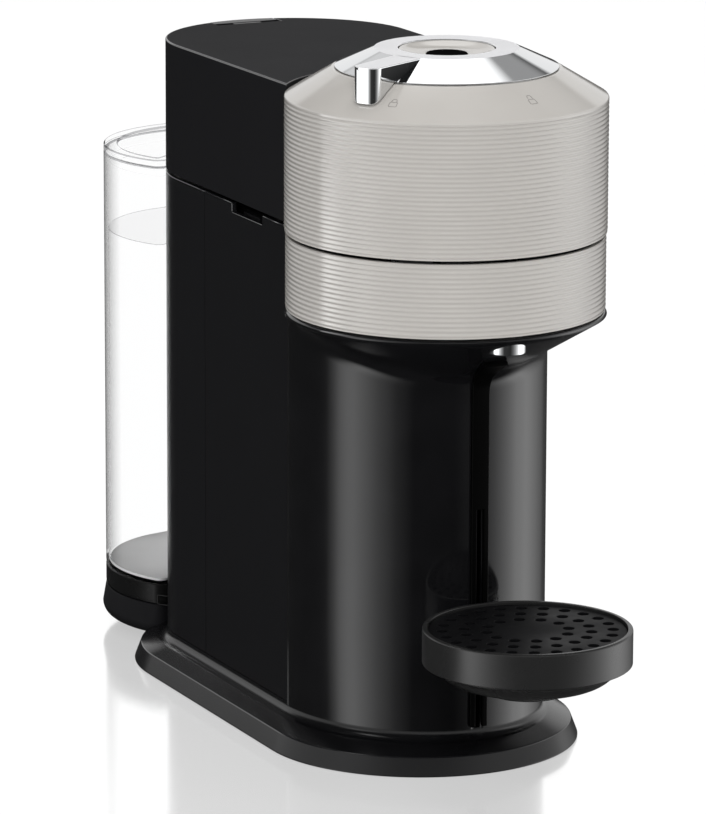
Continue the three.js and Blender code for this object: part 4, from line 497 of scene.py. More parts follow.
def add_node(tree, kind, **values):
    """A node with values on its inputs, whose names are written with _ for a space."""
    node = tree.nodes.new(kind)
    for name, value in values.items():
        node.inputs[name.replace("_", " ")].default_value = value
    return node


def noise(tree, scale, detail=2.0, stretch=(1, 1, 1)):
    """A noise on Object coordinates, with features about 1 / scale metres across."""
    place = add_node(tree, "ShaderNodeTexCoord")
    mapping = add_node(tree, "ShaderNodeMapping", Scale=stretch)
    texture = add_node(tree, "ShaderNodeTexNoise", Scale=scale, Detail=detail)
    link(tree, place.outputs["Object"], mapping.inputs["Vector"])
    link(tree, mapping.outputs["Vector"], texture.inputs["Vector"])
    return texture.outputs["Fac"]


def spread(tree, value, low, high, start=0.3, stop=0.7):
    """Maps a value from start..stop to low..high."""
    node = add_node(tree, "ShaderNodeMapRange", From_Min=start, From_Max=stop, To_Min=low, To_Max=high)
    link(tree, value, node.inputs["Value"])
    return node.outputs["Result"]


def bump(tree, shader, height, strength, distance):
    """Bumps a shader's normal by a height, whose range of 1 stands for distance millimetres."""
    node = add_node(tree, "ShaderNodeBump", Strength=strength, Distance=distance * MM)
    link(tree, height, node.inputs["Height"])
    link(tree, node.outputs["Normal"], shader.inputs["Normal"])


def surface_material(name, color, roughness, metallic=0.0, specular=0.5, mottle=0.04, mottle_size=20.0,
                     smudge=0.2, smudge_size=35.0, grain=0.3, grain_depth=0.01, stretch=(1, 1, 1)):
    """Moulded, cast or turned surface: colour that varies slightly, handled gloss and a fine grain.

    Colour runs between color (1 - mottle) and color (1 + mottle) over mottle_size millimetres,
    roughness between (1 - smudge) and (1 + smudge) times its value, and grain is a bump
    of grain_depth millimetres with features grain millimetres across.
    """
    finish = bpy.data.materials.new(name)
    finish.use_nodes = True
    tree = finish.node_tree
    shader = tree.nodes["Principled BSDF"]
    shader.inputs["Metallic"].default_value = metallic
    shader.inputs["Specular IOR Level"].default_value = specular
    ramp = tree.nodes.new("ShaderNodeValToRGB")
    ramp.color_ramp.elements[0].position = 0.3
    ramp.color_ramp.elements[1].position = 0.7
    base = np.array(color[:3])
    ramp.color_ramp.elements[0].color = (*(base * (1 - mottle)), 1)
    ramp.color_ramp.elements[1].color = (*np.minimum(base * (1 + mottle), 1), 1)
    link(tree, noise(tree, 1 / (mottle_size * MM), 3.0), ramp.inputs["Fac"])
    link(tree, ramp.outputs["Color"], shader.inputs["Base Color"])
    gloss = noise(tree, 1 / (smudge_size * MM), 4.0)
    link(tree, spread(tree, gloss, roughness * (1 - smudge), roughness * (1 + smudge)),
         shader.inputs["Roughness"])
    bump(tree, shader, noise(tree, 1 / (grain * MM), 2.0, stretch), 0.5, grain_depth)
    return finish


def clear_material(name, tint, edge, ior, roughness=0.0):
    """Clear moulding: light passes straight through a face; its tint darkens towards edge at a slant, as
    painted shade.
    """
    finish = bpy.data.materials.new(name)
    finish.use_nodes = True
    tree = finish.node_tree
    shader = tree.nodes["Principled BSDF"]
    shader.inputs["Transmission Weight"].default_value = 1.0
    shader.inputs["IOR"].default_value = ior
    # the tint darkens where the face turns away from the view: painted shade standing in for reflection at a
    # slant
    slant = add_node(tree, "ShaderNodeLayerWeight", Blend=0.5)
    ramp = tree.nodes.new("ShaderNodeValToRGB")
    ramp.color_ramp.elements[0].position = 0.5
    ramp.color_ramp.elements[1].position = 0.92
    ramp.color_ramp.elements[0].color = (*tint, 1)
    ramp.color_ramp.elements[1].color = (*(edge * part for part in tint), 1)
    link(tree, slant.outputs["Facing"], ramp.inputs["Fac"])
    link(tree, ramp.outputs["Color"], shader.inputs["Base Color"])
    link(tree, spread(tree, noise(tree, 60, 2.0), roughness, roughness + 0.02), shader.inputs["Roughness"])
    bump(tree, shader, noise(tree, 80, 1.0), 0.1, 0.03)
    return finish


SURFACES = {  # material's name, its colour or the setting that holds it, roughness, and what differs
    "beige": ("beige_plastic", "drum", 0.12,
              dict(specular=0.85, mottle=0.015, smudge=0.15, grain=0.5, grain_depth=0.002)),
    "gloss_black": ("black_gloss", "gloss_black", 0.1,
                    dict(mottle=0.2, smudge=0.25, grain=3, grain_depth=0.001)),
    "strip_black": ("black_strip", (0.001, 0.001, 0.001), 0.3,
                    dict(specular=0.04, smudge=0.25, grain_depth=0.001)),
    "button_black": ("black_button", (0.003, 0.003, 0.003), 0.5,
                     dict(specular=0.0, smudge=0.25, grain_depth=0.001)),
    "satin_black": ("black_satin", "body", 0.3,
                    dict(specular=0.2, mottle=0.03, smudge=0.05, grain=0.35, grain_depth=0.003)),
    "edge_black": ("black_edge", "body", 0.16, dict(specular=1.0, mottle=0.03, grain_depth=0.001)),
    "cover_black": ("black_cover", "cover", 0.6,
                    dict(specular=0.035, mottle=0.02, smudge=0.02, grain=0.35, grain_depth=0.003)),
    "base_black": ("black_base", "gloss_black", 0.19,
                   dict(specular=0.38, mottle=0.05, smudge=0.1, grain=2, grain_depth=0.0005)),
    "matt_black": ("black_matt", "body", 0.6,
                   dict(specular=0.12, mottle=0.12, grain=0.4, grain_depth=0.02)),
    "grid_black": ("black_grid", "gloss_black", 0.5,
                   dict(specular=0.08, mottle=0.12, grain=0.4, grain_depth=0.01)),
    "support_grey": ("grey_support", "support", 0.28, dict(mottle=0.06, grain=0.35, grain_depth=0.006)),
    "chrome": ("chrome_polished", "chrome", 0.06,
               dict(metallic=1, mottle=0.01, smudge=0.4, grain=4, grain_depth=0.0015)),
    "satin_chrome": ("chrome_satin", (0.74, 0.74, 0.755), 0.35,
                     dict(metallic=0.5, mottle=0.01, grain=0.3, grain_depth=0.004)),
    "steel": ("steel_turned", (0.55, 0.56, 0.57), 0.25,
              dict(metallic=1, grain=0.3, grain_depth=0.01, stretch=(1, 1, 12))),
    "aluminium": ("aluminium_cast", (0.56, 0.57, 0.58), 0.4,
                  dict(metallic=1, mottle=0.06, grain=0.8, grain_depth=0.04)),
    "rubber": ("rubber_black", (0.025, 0.025, 0.025), 0.8,
               dict(specular=0.3, mottle=0.15, grain=0.5, grain_depth=0.03)),
    "white": ("white_moulding", (0.7, 0.7, 0.66), 0.45, dict(mottle=0.03, grain=0.6, grain_depth=0.01)),
    "dark_grey": ("grey_moulding", (0.06, 0.06, 0.062), 0.4,
                  dict(mottle=0.1, grain=0.5, grain_depth=0.015)),
    "board": ("green_board", (0.03, 0.15, 0.07), 0.35,
              dict(mottle=0.3, mottle_size=4, grain=1.2, grain_depth=0.03)),
    "icon": ("icon_ink", "icon", 0.4, dict(mottle=0.05, grain_depth=0.004)),
    "collar_black": ("black_collar", (0.006, 0.006, 0.006), 0.25,
                     dict(specular=0.12, smudge=0.25, grain_depth=0.001)),
    # dark colour on the upper part of the lever arm's chrome sides: a painted reflection of the dark
    # surroundings
    "arm_painted_reflection": ("metal_dark", (0.012, 0.0125, 0.013), 0.3,
                 dict(specular=0.1, mottle=0.05, grain_depth=0.002)),
    "frosted": ("clear_frosted", (0.66, 0.66, 0.66), 0.5,
                dict(mottle=0.02, grain=0.6, grain_depth=0.01)),
}
CLEARS = {  # material's name, its tint or the setting that holds it, share of it at a slant, index
    # the share at a slant darkens the tint where a face turns away: painted shade
    "clear": ("clear_plastic", "clear", 0.12, 1.012),
    "clear_inside": ("clear_inner_face", "clear", 0.97, 1.012),
    # dark grey tint on the rounded rims of tank, lid and water: painted shade
    "clear_edge_painted_shade": ("clear_rounded_edge", (0.32, 0.32, 0.33), 0.5, 1.012),
    "water": ("water_clear", (1, 1, 1), 0.97, 1.001),
    # grey tint on the water's top: painted shade standing in for the light its surface reflects
    "water_top_painted_shade": ("water_surface", (0.86, 0.86, 0.865), 0.95, 1.001),
}
MATERIALS = {}


def material(name):
    """A finish by its name, made once."""
    if name not in MATERIALS:
        label, colour, *values = SURFACES.get(name) or CLEARS[name]
        if isinstance(colour, str):
            colour = getattr(bpy.context.scene.machine_colours, colour)
        if name in SURFACES:
            roughness, details = values
            MATERIALS[name] = surface_material(label, colour, roughness, **details)
        else:
            MATERIALS[name] = clear_material(label, colour, *values)
    return MATERIALS[name]


# ------------------------------------------------------------------ settings
class MachineSizes(PropertyGroup):
    """Sizes of the details that the frame leaves open."""

    rib_pitch: FloatProperty(name="Rib pitch", description="Height of one rib of the drum",
                             default=2.07 * MM, min=0.5 * MM, unit="LENGTH", precision=5)
    rib_depth: FloatProperty(name="Rib depth", description="Depth of the grooves between the ribs",
                             default=0.36 * MM, min=0, unit="LENGTH", precision=5)
    water_level: FloatProperty(name="Water level", description="Height of the water in the tank",
                               default=194 * MM, unit="LENGTH")
    panel_edge: FloatProperty(name="Panel edge", description="Rounding of the body panels' edges",
                              default=0.4 * MM, min=0, unit="LENGTH", precision=5)


def colour(label, description, value):
    """A colour setting."""
    return FloatVectorProperty(name=label, description=description, default=value, subtype="COLOR",
                               min=0, max=1)


class MachineColours(PropertyGroup):
    """Colours of the outer finishes."""

    drum: colour("Drum", "Ribbed drum and the lever's dish", (0.405, 0.388, 0.366))
    gloss_black: colour("Gloss black", "Column, base, collar and button", (0.004, 0.004, 0.0045))
    body: colour("Body", "Side panels and rear shell", (0.006, 0.006, 0.007))
    cover: colour("Cover", "Rear top cover", (0.0092, 0.0092, 0.0103))
    support: colour("Cup support", "Wall and bowl of the cup support", (0.012, 0.012, 0.012))
    chrome: colour("Chrome", "Lever and coffee outlet", (0.82, 0.83, 0.84))
    icon: colour("Icons", "Lock signs on the drum's shoulder", (0.2, 0.19, 0.18))
    clear: colour("Clear plastic", "Water tank and its lid", (0.998, 0.999, 1.0))


# ------------------------------------------------------------------ drums
def ribs(radius, bottom, top, pitch, depth):
    """Profile of a ribbed wall: r = radius - depth (0.5 + 0.5 cos(2 pi z / pitch)), grooves at both ends."""
    count = max(1, round((top - bottom) / pitch))
    z = np.linspace(bottom, top, count * 10 + 1)
    wave = 0.5 + 0.5 * np.cos(TAU * (z - bottom) * count / (top - bottom))
    return np.column_stack([radius - depth * wave, z])


def upper_drum_profile(pitch, depth):
    """Closed profile of the upper drum: ribs, a smooth coned shoulder, the lever's opening and the wall."""
    outer = ribs(DRUM_RADIUS, DRUM_BOTTOM + DRUM_EDGE, SHOULDER_Z - SHOULDER_PLAIN, pitch, depth)
    inside, ceiling = DRUM_RADIUS - DRUM_WALL, DRUM_TOP - DRUM_WALL
    shoulder = soften(
        [outer[-1], (DRUM_RADIUS, SHOULDER_Z - SHOULDER_PLAIN + RIB_RUNOUT), (DRUM_RADIUS, SHOULDER_Z),
         (SHOULDER_TOP_RADIUS, DRUM_TOP), (DRUM_OPENING, DRUM_TOP), (DRUM_OPENING, ceiling),
         (SHOULDER_TOP_RADIUS - DRUM_WALL, ceiling), (inside, SHOULDER_Z - SHOULDER_FOLD * DRUM_WALL),
         (inside, DRUM_BOTTOM), (DRUM_RADIUS, DRUM_BOTTOM), outer[0]],
        [0, 0.1, 1.8, 1.2, 0.6, 0.3, 0, 0, 0.3, 0.5, 0], closed=False, steps=8)
    return np.concatenate([outer, shoulder[1:-1]])


class MACHINE_OT_drums(Operator):
    """Ribbed upper and lower drums"""

    bl_idname = "machine.drums"
    bl_label = "Drums"

    def execute(self, context):
        sizes = context.scene.machine_sizes
        pitch, depth = sizes.rib_pitch / MM, sizes.rib_depth / MM
        add_piece("drum_upper", [turned(upper_drum_profile(pitch, depth), steps=256)], "head",
                  ["beige"], ["upper_drum"], sharp=60)

        inner, flange_top = LOWER_RADIUS - DRUM_WALL, LOWER_BOTTOM + LOWER_FLANGE_THICKNESS
        outer = ribs(LOWER_RADIUS, LOWER_BOTTOM + LOWER_EDGE, LOWER_TOP - LOWER_EDGE, pitch, depth)
        rest = soften(
            [outer[-1], (LOWER_RADIUS, LOWER_TOP), (inner, LOWER_TOP), (inner, flange_top),
             (LOWER_FLANGE, flange_top), (LOWER_FLANGE, LOWER_BOTTOM), (LOWER_RADIUS, LOWER_BOTTOM),
             outer[0]],
            [0, 0.4, 0.3, 0, 0, 0.3, 0.4, 0], closed=False, steps=5)
        add_piece("drum_lower", [turned(np.concatenate([outer, rest[1:-1]]), steps=256)], "body",
                  ["beige"], ["lower_drum"], sharp=60)
        return {"FINISHED"}


# ------------------------------------------------------------------ rear top cover
def cover_outline(inset, front_inset, lip=0.0):
    """Rear cover seen from above: sides, round rear cut out for the hinge bracket, hollow front arc.

    Sides and rear go in by inset, the cut-out and the hollow by front_inset; lip closes the cut-out.
    """
    half = HALF_WIDTH - inset
    drum = DRUM_RADIUS + GAP + front_inset
    cut = BRACKET_HALF_WIDTH + RUNNING_GAP + front_inset
    cut_front = HINGE_Y - BRACKET_KNUCKLE - BRACKET_BAY - front_inset + lip
    front_angle = math.acos(half / drum)
    cut_angle = math.acos(cut / half)
    right = arc(REAR_CENTRE, half, half, 0, cut_angle, 36)
    left = right[::-1] * (-1, 1)
    bay = np.array([(cut, cut_front), (-cut, cut_front)])
    hollow = arc(0, drum, drum, math.pi - front_angle, front_angle, 60)
    return np.concatenate([right, bay, left, straight(left[-1], hollow[0], 6), hollow,
                           straight(hollow[-1], right[0], 6)])


class MACHINE_OT_rear_cover(Operator):
    """Rear top cover of the head"""

    bl_idname = "machine.rear_cover"
    bl_label = "Rear top cover"

    def execute(self, context):
        lip_z, hollow_share = COVER_TOP - COVER_LIP_THICKNESS, 0.25
        outer = soften([(0, COVER_BOTTOM), (0, COVER_TOP), (COVER_EDGE + 0.3, COVER_TOP)],
                       [0, COVER_EDGE, 0], closed=False, steps=10)
        below, above = outer[outer[:, 1] < lip_z], outer[outer[:, 1] >= lip_z]
        start = [[above[0, 0], lip_z]]
        rings = np.concatenate([
            carried(lambda inset: cover_outline(inset, hollow_share * inset), np.concatenate([below, start])),
            carried(lambda inset: cover_outline(inset, hollow_share * inset, COVER_LIP),
                    np.concatenate([start, above]))])
        lining = carried(lambda inset: cover_outline(inset, inset),
                         [(BODY_WALL, COVER_TOP - BODY_WALL), (BODY_WALL, COVER_BOTTOM)])
        for points in (rings, lining):
            share = np.clip((points[..., 2] - COVER_TOP) / COVER_FALL_DEPTH + 1, 0, 1)
            points[..., 2] -= share * (points[..., 1] - COVER_LEVEL_Y) * COVER_FALL
        parts = [sheet(np.stack([lining[1], *rings])), sheet(lining), cap(rings[-1]), cap(lining[0])]
        piece = add_piece("rear_cover", parts, "head", ["cover_black", "edge_black"],
                          ["rear_top_cover"])
        middles, normals = faces_of(piece)
        high = middles[:, 2] > COVER_TOP - 5
        finish_faces(piece, high & (normals[:, 2] > 0.2) & (normals[:, 2] < 0.98))
        weigh_normals(piece)
        return {"FINISHED"}


# ------------------------------------------------------------------ lower body
def side_panel(side):
    """Side panel: its outline in (y, z) on the outer face and on the inner one, joined round the edge."""
    step = LOWER_BOTTOM - RUNNING_GAP
    faces = []
    for x in (HALF_WIDTH, HALF_WIDTH - BODY_WALL):
        front = math.sqrt((LOWER_RADIUS + RUNNING_GAP) ** 2 - x**2)
        flat = soften(
            [(PANEL_FRONT, PANEL_BOTTOM), (PANEL_FRONT, step), (front, step), (front, PANEL_TOP),
             (NOTCH_FRONT, PANEL_TOP), (NOTCH_FRONT, PANEL_TOP - NOTCH_DEPTH),
             (NOTCH_REAR, PANEL_TOP - NOTCH_DEPTH), (NOTCH_REAR, PANEL_TOP),
             (PANEL_REAR, PANEL_TOP), (PANEL_REAR, PANEL_BOTTOM)],
            [0, 0, 0, 0, 0.6, 0.8, 0.8, 0.6, 0, 0], steps=4)
        faces.append(np.column_stack([np.full(len(flat), side * x), flat]))
    return [sheet(np.stack(faces)), cap(faces[0]), cap(faces[1])]


def rear_outline(inset):
    """Open outline of the rear shell: straight for a little, round the rear, and back."""
    half = HALF_WIDTH - inset
    front = PANEL_REAR + RUNNING_GAP
    middle = arc(REAR_CENTRE, half, half, 0, math.pi, 96)
    right = straight((half, front), middle[0], 4)
    left = straight(middle[-1], (-half, front), 4)
    return np.concatenate([[(half, front)], right, middle, left, [(-half, front)]])


class MACHINE_OT_lower_body(Operator):
    """Side panels and rear shell"""

    bl_idname = "machine.lower_body"
    bl_label = "Lower body panels"

    def execute(self, context):
        edge = context.scene.machine_sizes.panel_edge / MM
        for side, name in ((-1, "left"), (1, "right")):
            piece = add_piece("panel_" + name, side_panel(side), "body",
                              ["satin_black", "edge_black"], ["side_panel_" + name])
            weigh_edges(piece, PANEL_TOP - NOTCH_DEPTH - ROUNDED_BAND)
            round_edges(piece, edge, weighed=True)

        profile = [(0, PANEL_BOTTOM), (0, PANEL_TOP), (BODY_WALL, PANEL_TOP), (BODY_WALL, PANEL_BOTTOM)]
        rings = carried(rear_outline, profile)
        piece = add_piece("rear_wall", [sheet(rings, True, False), cap(rings[:, 0]), cap(rings[:, -1])],
                          "body", ["satin_black", "edge_black"], ["rear_shell"])
        weigh_edges(piece, PANEL_TOP - ROUNDED_BAND)
        round_edges(piece, edge, weighed=True)
        return {"FINISHED"}


# ------------------------------------------------------------------ column
def column_rows(x, offset, bottom, breaks, stop=None, cone_rows=8):
    """Rows of the column's front: straight up, a fillet, then the cone that widens under the drum.

    At plan distance s from the axis the cone is (R - s) away; the fillet ends at
    z = corner - f (1 - t)^2 + slope * out, where out = (f / slant) t^2 and t goes from 0 to 1.
    """
    half, depth = HALF_WIDTH + offset, COLUMN_DEPTH + offset
    share = np.clip(x / half, -1, 1)
    y = np.minimum(COLUMN_CENTRE - depth * np.sqrt(1 - share**2), PANEL_FRONT - RUNNING_GAP)
    start = np.hypot(x, y)
    slant = math.hypot(1, FLARE_SLOPE)
    lift = offset * (FLARE_SLOPE - slant)
    radius = FLARE_RADIUS + offset
    reach = np.maximum(0, radius - start)
    fillet = np.minimum(FLARE_FILLET, FLARE_FILLET_SHARE * reach * slant)
    corner = FLARE_TOP + lift - FLARE_SLOPE * reach
    rows = [np.stack([x, y, np.full_like(x, level)], -1) for level in (bottom, *breaks)]
    last = rows[-1][:, 2]
    begin = corner - fillet
    for t in (0.5, 1):
        rows.append(np.stack([x, y, last + (begin - last) * t], -1))
    for t in np.linspace(0, 1, 13)[1:]:
        out = fillet / slant * t * t
        z = corner - fillet * (1 - t) ** 2 + FLARE_SLOPE * out
        grow = (start + out) / start
        rows.append(np.stack([x * grow, y * grow, z], -1))
    begin_out = fillet / slant
    end_out = reach if stop is None else np.minimum(reach, (stop - corner) / FLARE_SLOPE)
    for t in np.linspace(0, 1, cone_rows + 1)[1:]:
        out = begin_out + (end_out - begin_out) * t
        grow = (start + out) / start
        rows.append(np.stack([x * grow, y * grow, corner + FLARE_SLOPE * out], -1))
    return np.stack(rows)


def slotted(wide, offset, bottom, stop=None):
    """The column's front over half widths to both sides, open between the innermost up to the slot's top."""
    x = np.concatenate([-wide[::-1], wide])
    rows = column_rows(x, offset, bottom, breaks=(COLUMN_MIDDLE, SLOT_TOP), stop=stop)
    skip = np.zeros((len(rows) - 1, len(x) - 1), bool)
    skip[:2, len(wide) - 1] = True
    return sheet(rows, wrap_columns=False, skip=skip)


class MACHINE_OT_column(Operator):
    """Column with its flare, and the rail of the cup support"""

    bl_idname = "machine.column"
    bl_label = "Column and rail"

    def execute(self, context):
        seam = PANEL_FRONT - RUNNING_GAP
        end = HALF_WIDTH * math.sqrt(1 - ((COLUMN_CENTRE - seam) / COLUMN_DEPTH) ** 2)
        start, stop = math.asin(SLOT_HALF_WIDTH / HALF_WIDTH), math.asin(end / HALF_WIDTH)
        wide = HALF_WIDTH * np.sin(np.linspace(start, stop, 61))
        piece = add_piece("column_skin", [slotted(wide, 0, PANEL_BOTTOM)], "body",
                          ["gloss_black"], ["column_shell"], outward=False)
        thicken(piece, BODY_WALL)
        weigh_normals(piece)

        wide = np.array([SLOT_HALF_WIDTH, SLOT_BORDER, RAIL_HALF_WIDTH])
        piece = add_piece("rail_strip", [slotted(wide, RAIL_PROUD, RAIL_LOW[2], RAIL_HIGH[2])], "body",
                          ["strip_black"], ["support_rail"], outward=False)
        thicken(piece, RAIL_PROUD - GAP)
        round_edges(piece, 0.5)
        return {"FINISHED"}


# ------------------------------------------------------------------ base
def base_ring(across):
    """Outline of the base at a distance in from its upper edge: negative is the skirt, then the deck.

    The deck's outline runs from the base's outline to the body's as
    (1 - s) base + s body, with s the share of the way to the body's wall.
    """
    if across <= 0:
        return base_outline(BASE_EDGE_INSET + across)
    if across <= BASE_DECK:
        share = across / BASE_DECK
        return (1 - share) * base_outline(BASE_EDGE_INSET) + share * body_outline(-BASE_FILLET)
    return body_outline(across - BASE_REACH)


class MACHINE_OT_base(Operator):
    """Base, its underside and feet"""

    bl_idname = "machine.base"
    bl_label = "Base and feet"

    def execute(self, context):
        turn = np.linspace(0, math.pi / 2, 9)
        fillet = np.column_stack([BASE_REACH - BASE_FILLET * (1 - np.sin(turn)),
                                  BASE_TOP - BASE_FILLET * np.cos(turn)])
        skirt = soften([(-BASE_EDGE_INSET + BASE_RIM, BASE_BOTTOM), (-BASE_EDGE_INSET, BASE_BOTTOM),
                        (0, BASE_EDGE_Z), (BASE_DECK, BASE_TOP - BASE_FILLET)],
                       [0, 0.6, 1.2, 0], closed=False, steps=7)
        inside = BASE_REACH + BASE_WALL
        rings = carried(base_ring, np.concatenate([
            skirt[:-1], fillet, [(inside, BASE_TOP), (inside, BASE_FLOOR)]]))
        under = carried(lambda inset: base_outline(BASE_EDGE_INSET + inset),
                        [(-BASE_EDGE_INSET + BASE_RIM, BASE_BOTTOM), (BASE_WALL, BASE_BOTTOM),
                         (BASE_WALL, BASE_CEILING)])
        parts = [sheet(rings), cap(rings[-1]), sheet(under), cap(under[-1])]
        piece = add_piece("base_body", parts, "body", ["base_black", "edge_black"],
                          ["base_shell"])
        middles, normals = faces_of(piece)
        near_edge = np.abs(middles[:, 2] - BASE_EDGE_Z) < 1.2
        finish_faces(piece, near_edge & (normals[:, 2] > 0.5) & (normals[:, 2] < 0.83))
        weigh_normals(piece)

        for name in ("front_left", "front_right", "rear_left", "rear_right"):
            low, high = span("foot_" + name)
            centre = (low[:2] + high[:2]) / 2
            radius, step, rise = (high[0] - low[0]) / 2, 2.5, 0.4
            profile = soften([(0, low[2]), (radius - step, low[2]), (radius - step, low[2] + rise),
                              (radius, low[2] + rise), (radius, high[2]), (0, high[2])],
                             [0, 0.2, 0.2, 0.3, 0.2, 0], closed=False, steps=3)
            add_piece("pad_" + name, [turned(profile, centre, 48, closed=False)], "body",
                      ["rubber"], ["foot_" + name])
        return {"FINISHED"}


# ------------------------------------------------------------------ lever, dish and button
def arm_outline(inset):
    """Arm in plan: a wedge from the ring to a rounded finger, the inset taken square to its sides."""
    inner, reach = LEVER_TOP_RADIUS - 0.8, LEVER_REACH - inset
    root, half = LEVER_ROOT_WIDTH / 2 - inset, LEVER_FINGER_WIDTH / 2 - inset
    corner = LEVER_FINGER_CORNER - inset
    flat = soften([(inner, -root), (reach, -half), (reach, half), (inner, root)], [0, corner, corner, 0],
                  steps=12)
    return np.concatenate([flat[:1], straight(flat[0], flat[1], 24), flat[1:-1],
                           straight(flat[-2], flat[-1], 24), flat[-1:]])


def painted_reflection_foot(along):
    """Height of the lower edge of the painted dark reflection on the arm's chrome sides, which falls towards
    the ring.
    """
    return LEVER_TOP - 3.5 - 0.28 * (LEVER_REACH - 2 - along)


def lever_arm():
    """Arm of the lever, from the ring's top down to the shoulder, its edges rounded top and bottom.

    Its underside follows shoulder_height, a gap above it, and is flat where the finger ends higher.
    """
    whole = arm_outline(0)
    low = np.maximum(LEVER_FINGER_BOTTOM, shoulder_height(np.hypot(*whole.T)) + ARM_SIDE_GAP)
    edge, foot = 0.45, 1.5
    # panel is the height where the painted dark reflection on the arm's sides ends; the sides get a row of
    # points there
    panel = np.clip(painted_reflection_foot(whole[:, 0]), low + foot + 0.1, LEVER_TOP - edge - 0.1)
    rows = [(edge, LEVER_TOP), (0.3 * edge, LEVER_TOP - 0.3 * edge), (0, LEVER_TOP - edge), (0, panel),
            (0, low + foot), (0.13 * foot, low + 0.5 * foot), (0.5 * foot, low + 0.13 * foot), (foot, low)]
    cosine, sine = math.cos(LEVER_ANGLE), math.sin(LEVER_ANGLE)
    rings = []
    for inset, height in rows:
        flat = arm_outline(inset)
        lowest = shoulder_height(np.hypot(*flat.T)) + ARM_SOLE_GAP
        rings.append(np.column_stack([flat @ [cosine, -sine], flat @ [sine, cosine],
                                      np.maximum(height, lowest)]))
    rings = np.stack(rings)
    half = (rings.shape[1] + 1) // 2
    sole = np.stack([rings[-1, :half], rings[-1, ::-1][:half]])
    return [sheet(rings), cap(rings[0]), sheet(sole, wrap_columns=False)]


class MACHINE_OT_lever(Operator):
    """Lever ring with its arm, and the dish in it"""

    bl_idname = "machine.lever"
    bl_label = "Lever"

    def execute(self, context):
        skirt_inner = LEVER_SKIRT_RADIUS - LEVER_SKIRT_WALL
        skirt_bottom, plate_bottom = LEVER_RIM - LEVER_SKIRT_HEIGHT, LEVER_TOP - LEVER_PLATE
        profile = soften(
            [(LEVER_RADIUS, LEVER_RIM), (LEVER_TOP_RADIUS, LEVER_TOP), (LEVER_BORE, LEVER_TOP),
             (LEVER_BORE, plate_bottom), (LEVER_TOP_RADIUS, plate_bottom), (skirt_inner, LEVER_RIM - 0.3),
             (skirt_inner, skirt_bottom), (LEVER_SKIRT_RADIUS, skirt_bottom),
             (LEVER_SKIRT_RADIUS, LEVER_RIM)],
            [0.25, 0.5, 0.35, 0.2, 0, 0, 0.3, 0.3, 0], steps=5)
        piece = add_piece("lever", [turned(profile, steps=192)] + lever_arm(), "lever",
                          ["chrome", "satin_chrome", "arm_painted_reflection"], ["lever_ring"], sharp=30)
        middles, normals = faces_of(piece)
        satin = (middles[:, 2] > LEVER_TOP - 0.1) & (normals[:, 2] > 0.95)
        across = np.abs(normals @ [-math.sin(LEVER_ANGLE), math.cos(LEVER_ANGLE), 0])
        along = middles @ [math.cos(LEVER_ANGLE), math.sin(LEVER_ANGLE), 0]
        # faces of the arm's sides above that edge take the dark colour: a painted reflection on the chrome
        dark = ((across > 0.97) & (along > LEVER_TOP_RADIUS) & (middles[:, 2] > painted_reflection_foot(along))
                & (middles[:, 2] < LEVER_TOP - 0.5) & (along < LEVER_REACH - LEVER_FINGER_CORNER))
        finish_faces(piece, np.where(dark, 2, satin))
        weigh_normals(piece)

        low, high = span("lever_disc")
        rim, floor, top = LEVER_BORE - GAP, low[2] + 2.4, high[2] + LEVER_LIFT
        dip, seat = top - DISH_DEPTH, rim - 0.5
        curve = np.linspace(0, 1, 9)
        dish = np.column_stack([seat - (seat - DISH_BORE) * curve,
                                top - DISH_DEPTH * (1 - (1 - curve) ** 2.4)])
        profile = np.concatenate([
            [(0, low[2]), (DISH_BOSS, low[2]), (DISH_BOSS, dip - DISH_WALL), (rim, top - DISH_WALL)],
            [(rim, top - 0.4), (rim - 0.12, top - 0.1), (rim - 0.3, top)], dish,
            soften([(DISH_BORE + 0.3, dip), (DISH_BORE, dip), (DISH_BORE, floor), (0, floor)],
                   [0, 0.25, 0, 0], False, 4),
        ])
        add_piece("lever_dish", [turned(profile, closed=False)], "lever", ["beige"],
                  ["lever_disc"], sharp=40)
        return {"FINISHED"}


def line_on(path, width, height, closed):
    """Rows of a thin raised line along a flat path, in (along, up, out): four corners of its section."""
    ahead = np.roll(path, -1, 0) - np.roll(path, 1, 0)
    if not closed:
        ahead[0], ahead[-1] = path[1] - path[0], path[-1] - path[-2]
    ahead /= np.linalg.norm(ahead, axis=1)[:, None]
    square = np.column_stack([-ahead[:, 1], ahead[:, 0]]) * width / 2
    rows = [np.column_stack([path + side * square, np.full(len(path), out)])
            for side, out in ((-1, 0), (-1, height), (1, height), (1, 0))]
    return np.stack(rows)


def lock_mark(angle, radius, lift):
    """Padlock drawn as a thin raised line on the drum's shoulder, its shackle lifted when open."""
    body = soften([(-1.75, -2.2), (1.75, -2.2), (1.75, 0.7), (-1.75, 0.7)], [0.45] * 4, steps=3)
    turn = np.linspace(0, math.pi, 17)
    bow = np.column_stack([1.15 * np.cos(turn), 1.4 + lift + 1.3 * np.sin(turn)])
    bow = np.concatenate([[(1.15, 0.7)], bow, [(-1.15, 0.7 + 1.2 * lift)]])
    slope = math.atan(SHOULDER_SLOPE)
    level = shoulder_height(radius)
    parts = []
    for path, closed in ((body, True), (bow, False)):
        rows = line_on(path, LOCK_LINE, LOCK_PROUD, closed)
        along, up, out = rows[..., 0], rows[..., 1], rows[..., 2]
        away = radius - up * math.cos(slope) + out * math.sin(slope)
        turned_by = angle + along / radius
        rows = np.stack([away * np.cos(turned_by), away * np.sin(turned_by),
                         level + up * math.sin(slope) + out * math.cos(slope)], -1)
        parts.append(sheet(rows, True, closed))
        if not closed:
            parts += [cap(rows[:, 0]), cap(rows[:, -1])]
    return parts


